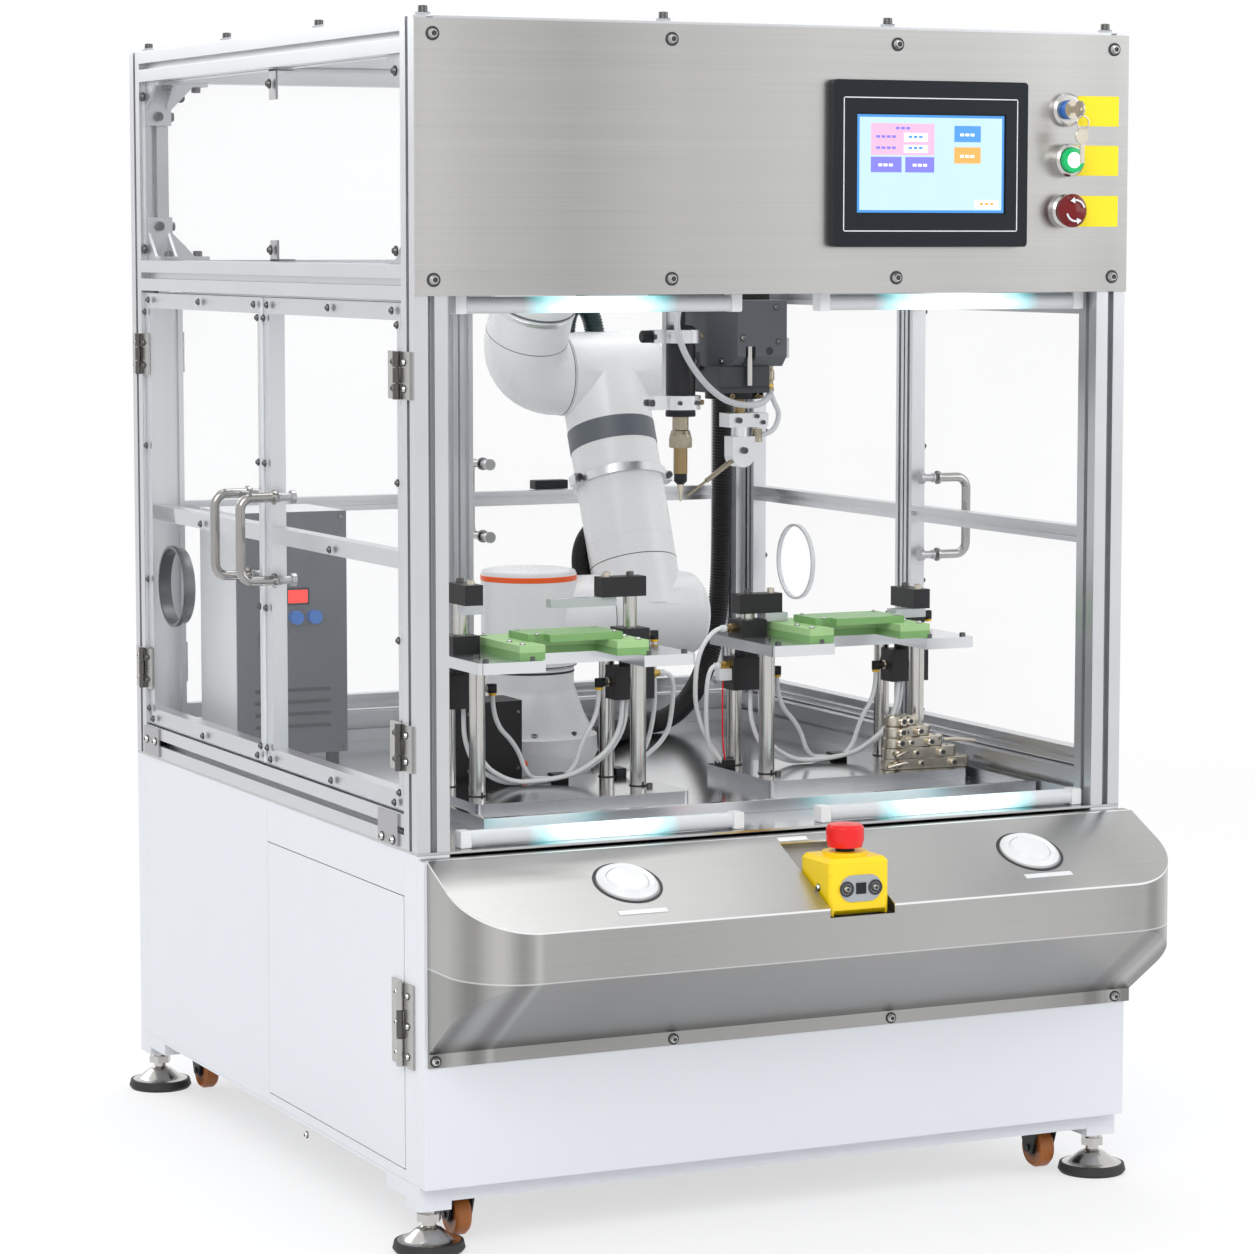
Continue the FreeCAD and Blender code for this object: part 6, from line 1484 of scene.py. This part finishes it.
for k, (dx, dy) in enumerate(((-22.0, -8.0), (-16.0, -13.0), (26.0, -12.0))):
    start = LEVER_SPOT + Vector((-34.0 if dx < 0 else 20.0, -14.0, 9.0 + 14.0 * k))
    bend, end = Vector((dx * 0.6, dy * 0.6, 1.0)), Vector((dx * 1.5, dy, -3.0))
    levers.tube((start, start + bend, start + end), 2.6, NICKEL, 12, 5)
levers.done()

# %% Conduit
CONDUIT = ((854, 934, 1298), (854, 934, 1000), (854, 934, 700), (848, 930, 560), (814, 912, 470),
           (749, 878, 418.5), (664, 838, 418.5), (592, 762, 418.5), (536, 701, 422.5), (490, 667, 426.5))
hose("conduit_hose", "cabinet", "black_hose", CONDUIT, 14.2, HOSE_BLACK, 4.2, 0.055, 24, 16,
     ("cable_conduit",))

# %% [markdown]
# ## Arm
# The arm's castings are white and smooth, parted by fine dark joints. A grey band, a split collar
# and an orange ring are all that breaks the white. A short braided sleeve runs up behind the upper
# arm, and a ribbed hose leaves the elbow.

# %% Arm castings
SHOULDER = Vector((570.0, 605.0, 598.0))
LEAN = Matrix.Rotation(math.radians(-22), 3, "X")
LINK = LEAN @ UP
ELBOW = SHOULDER + LINK * 340
FOREARM = Vector((447.0, ELBOW.y, ELBOW.z))
FOREARM_LINE = Matrix.Rotation(math.radians(30), 3, "X") @ UP
COLUMN = Vector((406.0, 605.0, 0.0))
SEAM_X = 510.0


def band(piece, foot, axis, radius, height, finish):
    """A ring round a casting: a disc whose middle is hidden inside it."""
    edge = min(0.5, height / 4)
    inner, above = radius - edge, height - edge
    piece.turned(((0, 0), (inner, 0), (radius, edge), (radius, above), (inner, height), (0, height)),
                 foot, axis, finish, 64)


def casting(node, body, collar_below=0.0):
    """A white casting. Solids lower than collar_below are split collars of bare aluminium."""
    made = Piece(node + "_casting", body, "white_casting")
    made.solids(node, lambda low, high: ALUMINIUM if high.z - low.z < collar_below else WHITE_CAST, 0.6, 3)
    return made


foot = casting("robot_base", "cabinet")
band(foot, COLUMN + UP * 531, UP, 59.6, 3.0, SEAM_AND_SHADE)
foot.done()
screws("arm_foot_bolts", "cabinet", "switch_metal",
       [(COLUMN + Vector((78 * math.cos(a), 78 * math.sin(a), 453.5)),
         Vector((math.cos(a), math.sin(a), 1.0)).normalized(), 10.0)
        for a in (-2.6, -1.9, -1.2, -0.5, 0.9, 2.2)], **CAP)

shoulder = casting("robot_shoulder", "robot_shoulder")
band(shoulder, COLUMN + UP * 651, UP, 63.2, 7.0, ORANGE)
band(shoulder, COLUMN + UP * 540, UP, 62.9, 1.2, SEAM_AND_SHADE)
band(shoulder, Vector((SEAM_X - 3.2, SHOULDER.y, SHOULDER.z)), RIGHT, 56.3, 1.2, SEAM_AND_SHADE)
shoulder.done()

COLLAR = SHOULDER + LINK * 188
upper = casting("robot_upper_arm", "robot_upper_arm", 80.0)
band(upper, SHOULDER + LINK * 232, LINK, 58.9, 30.0, GREY_BAND)
band(upper, SHOULDER + LINK * 69, LINK, 58.3, 1.2, SEAM_AND_SHADE)
band(upper, SHOULDER + LINK * 100, LINK, 58.2, 0.6, CASE_WHITE)
for turn in (-1, 1):
    ear = COLLAR + Vector((64.0 * turn, 0, 0)) + LEAN @ Vector((0, -6, 0))
    upper.block(ear - Vector((8, 10, 7)), ear + Vector((8, 10, 7)), ALUMINIUM, 1.2, LEAN)
upper.done()
collar_screws = [(COLLAR + Vector((66.0 * turn, 0, 0)) + LEAN @ Vector((0, -16, 0)), LEAN @ FRONT, 9.0)
                 for turn in (-1, 1)]
screws("collar_screws", "robot_upper_arm", "black_steel", collar_screws, **CAP)
hose("column_sleeve", "robot_upper_arm", "black_hose",
     ((508, 638, 618), (508, 664, 650), (516, 682, 682), (536, 694, 706), (560, 684, 735)),
     12.0, HOSE_BLACK, 3.0, 0.05, 20, 14)
hose("elbow_hose", "robot_upper_arm", "black_hose",
     ((566, 742, 962), (562, 744, 990), (548, 742, 1008), (530, 740, 1006), (520, 738, 985), (518, 736, 958)),
     13.0, TEAL_BLACK, 4.0, 0.06, 20, 14)

forearm = casting("robot_forearm", "robot_forearm")
band(forearm, Vector((SEAM_X - 3.2, ELBOW.y, ELBOW.z)), RIGHT, 55.3, 1.2, SEAM_AND_SHADE)
band(forearm, FOREARM + FOREARM_LINE * 62, FOREARM_LINE, 55.3, 1.0, SEAM_AND_SHADE)
band(forearm, FOREARM + FOREARM_LINE * 104, FOREARM_LINE, 55.9, 6.0, ALUMINIUM)
band(forearm, FOREARM + FOREARM_LINE * 113, FOREARM_LINE, 55.9, 3.0, GREY_BAND)
forearm.done()

wrist = casting("robot_wrist_1", "robot_wrist_1")
band(wrist, Vector((498.6, 582.4, 1173.0)), RIGHT, 42.3, 1.0, SEAM_AND_SHADE)
wrist.done()
hand = casting("robot_wrist_2", "robot_wrist_2")
band(hand, Vector((577.0, 530.8, 1173.0)), FRONT, 42.3, 1.0, SEAM_AND_SHADE)
band(hand, Vector((577.0, 464.4, 1096.0)), UP, 42.5, 5.0, GREY_BAND)
hand.done()

# %% [markdown]
# ## Tool
# The soldering iron hangs in two clamps, and the wire feeder beside it pushes solder through a bent
# nozzle to the tip. A clear tube guides the wire in a bow across the front.

# %% Brackets and iron
IRON = Vector((553.0, 455.0, 0.0))
GUIDE = Vector((638.0, 455.0, 0.0))


def bracket_finish(low, high):
    """The top plate is black, and all else bare aluminium."""
    return BLACK_METAL if high.z > 1010 and low.z > 1000 else ALUMINIUM


tool = Piece("tool_plates", "soldering_tool", "machined_aluminium")
tool.solids("tool_bracket", bracket_finish, 0.6)
tool.turned(((0, 0), (7.5, 0), (8, 1), (8, 13), (7, 14), (0, 14)), (511, 455, 969.5), LEFT,
            BLACK_PLASTIC, 36, 0.94)
tool.turned(disc(3, 8), (577, 455, 885), RIGHT, BRASS, 16)
tool.turned(((0, 0), (7.2, 0), (7.2, 3), (6.4, 4), (6.4, 12), (7.2, 13), (7.2, 17), (0, 17)),
            (663, 455, 832), UP, WARM_NICKEL, 40, 0.95)
tool.turned(disc(3.2, 22), (663, 455, 845), UP, STAINLESS, 16)
tool.done()
screws("tool_cap_screws", "soldering_tool", "black_steel",
       [((511, 447, 885), LEFT, 9.0), ((511, 463, 885), LEFT, 9.0), ((511, 440, 969.5), LEFT, 7.0),
        ((629, 440, 861), FRONT, 8.0), ((655, 440, 866), FRONT, 6.0), ((664, 440, 858), FRONT, 6.0),
        ((638, 443, 822), FRONT, 9.0), ((540, 431, 885), FRONT, 6.0), ((566, 431, 885), FRONT, 6.0)], **CAP)
screws("tool_brass_screws", "soldering_tool", "nickel_plate",
       [((577, 447, 885), RIGHT, 7.0), ((577, 463, 885), RIGHT, 7.0), ((577, 455, 969.5), RIGHT, 9.0)],
       **BRASS_CAP)


def steps_rule(steps, last):
    """Chooses by height: each step is (upper edge, finish), and last is for what lies above."""
    return lambda middle, face: next((finish for edge, finish in steps if middle.z < edge), last)


def iron_rule(low, high):
    """From the tip up: tip, black holder, brass barrel, nut, sleeve and handle."""
    return steps_rule(((low.z + 22, NICKEL), (low.z + 36.5, BLACK_PLASTIC), (low.z + 69.5, BRASS),
                       (low.z + 109.0, WARM_NICKEL)), BLACK_METAL)


iron = Piece("iron_handle", "soldering_tool", "black_handle")
iron.solids("soldering_iron", iron_rule, 0.3)
iron.turned(((0, 0), (14.0, 0), (14.8, 1), (14.8, 12), (14.0, 13), (0, 13)), IRON + UP * 827.5, UP,
            WARM_NICKEL, 64, 0.955)
iron.turned(disc(19.4, 5), IRON + UP * 868, UP, BLACK_PLASTIC, 40)
iron.done()


# %% Wire feeder
def feeder_rule(low, high):
    """The rod, the feed tube, the side connector and the stepped housing."""
    if high.x - low.x < 10:
        return STAINLESS
    if high.z < 850:
        return WARM_NICKEL
    if high.x - low.x < 30:
        return CASE_WHITE
    return steps_rule(((888.0, BRASS), (896.5, BLACK_PLASTIC), (929.5, DARKER_CASE)), DARK_CASE)


feeder = Piece("feeder_housing", "soldering_tool", "dark_grey_case")
feeder.solids("wire_feeder", feeder_rule, 0.8)
feeder.turned(disc(5, 0.6), (667, 428.2, 950), FRONT, SEAM_AND_SHADE, 20)
feeder.block((597.6, 490, 924), (599, 514, 948), SEAM_AND_SHADE, 0.3)
feeder.turned(ring(4.5, 9, 5), (692, 480, 983), RIGHT, BLACK_PLASTIC, 24)
feeder.turned(((0, 0), (6, 0), (6, 4), (5, 5), (5, 14), (6.5, 15), (6.5, 26), (5, 28), (5, 33), (0, 33)),
              (681, 455, 897), UP, WARM_NICKEL, 32, 0.96)
feeder.turned(disc(5.5, 5), (681, 455, 902), UP, GOLD, 24)
feeder.block((601, 436.6, 902), (672, 438.2, 904), SEAM_AND_SHADE, 0.0)
feeder.tube(((681, 455, 900), (686, 455, 886), (696, 454, 868), (688, 453, 848), (676, 454, 842),
             (666, 455, 840)), 3.4, SILVER_TUBE, 16, 10)
feeder.tube(((548, 444, 1013), (532, 430, 990), (540, 421, 950), (566, 418, 912), (600, 419, 886),
             (636, 422, 880), (664, 432, 884), (676, 444, 894)), 4.2, SILVER_TUBE, 18, 10)
feeder.done()
rim = []
for angle in (-2.5, -2.05, -1.1, -0.65):
    out = Vector((math.cos(angle), math.sin(angle), 0))
    rim.append((GUIDE + Vector((0, 20, 892)) + out * 36, out, 7.0))
screws("feeder_rim_screws", "soldering_tool", "nickel_plate", rim, **BRASS_CAP)
screws("feeder_case_screws", "soldering_tool", "switch_metal",
       [((629, 428, 967), FRONT, 9.0), ((676, 428, 1006), FRONT, 8.0), ((680, 428, 962), FRONT, 8.0),
        ((609.5, 451, 937), Vector((-0.894, -0.447, 0)), 8.0), ((598, 502, 936), LEFT, 8.0)], **BUTTON)

# %% [markdown]
# ## Feet and casters
# A foot is a rubber pad under a plated cone, with a threaded stem and a lock nut. A caster is a
# black fork with an amber wheel.

# %% Feet and casters
RUBBER_HIGH, HUB_RADIUS = 12.5, 13.0


def wheel_rule(low, high):
    """A black hub inside the amber tyre."""
    hub = (low + high) / 2
    return lambda middle, face: (BLACK_PLASTIC if math.hypot(middle.y - hub.y, middle.z - hub.z) < HUB_RADIUS
                                 else AMBER)


plain("fork_plates", "cabinet", "black_steel", "caster_forks", BLACK_METAL)
for corner in ("front_left", "front_right", "back_left", "back_right"):
    foot, wheel = "levelling_foot_" + corner, "caster_wheel_" + corner
    plain(corner + "_foot_stack", foot, "foot_rubber", foot,
          two_tone(2, FLOOR + RUBBER_HIGH, RUBBER, STAINLESS), 0.0)
    plain(corner + "_wheel_tyre", wheel, "amber_wheel", wheel, wheel_rule, 0.0)
print("feet and casters ready")
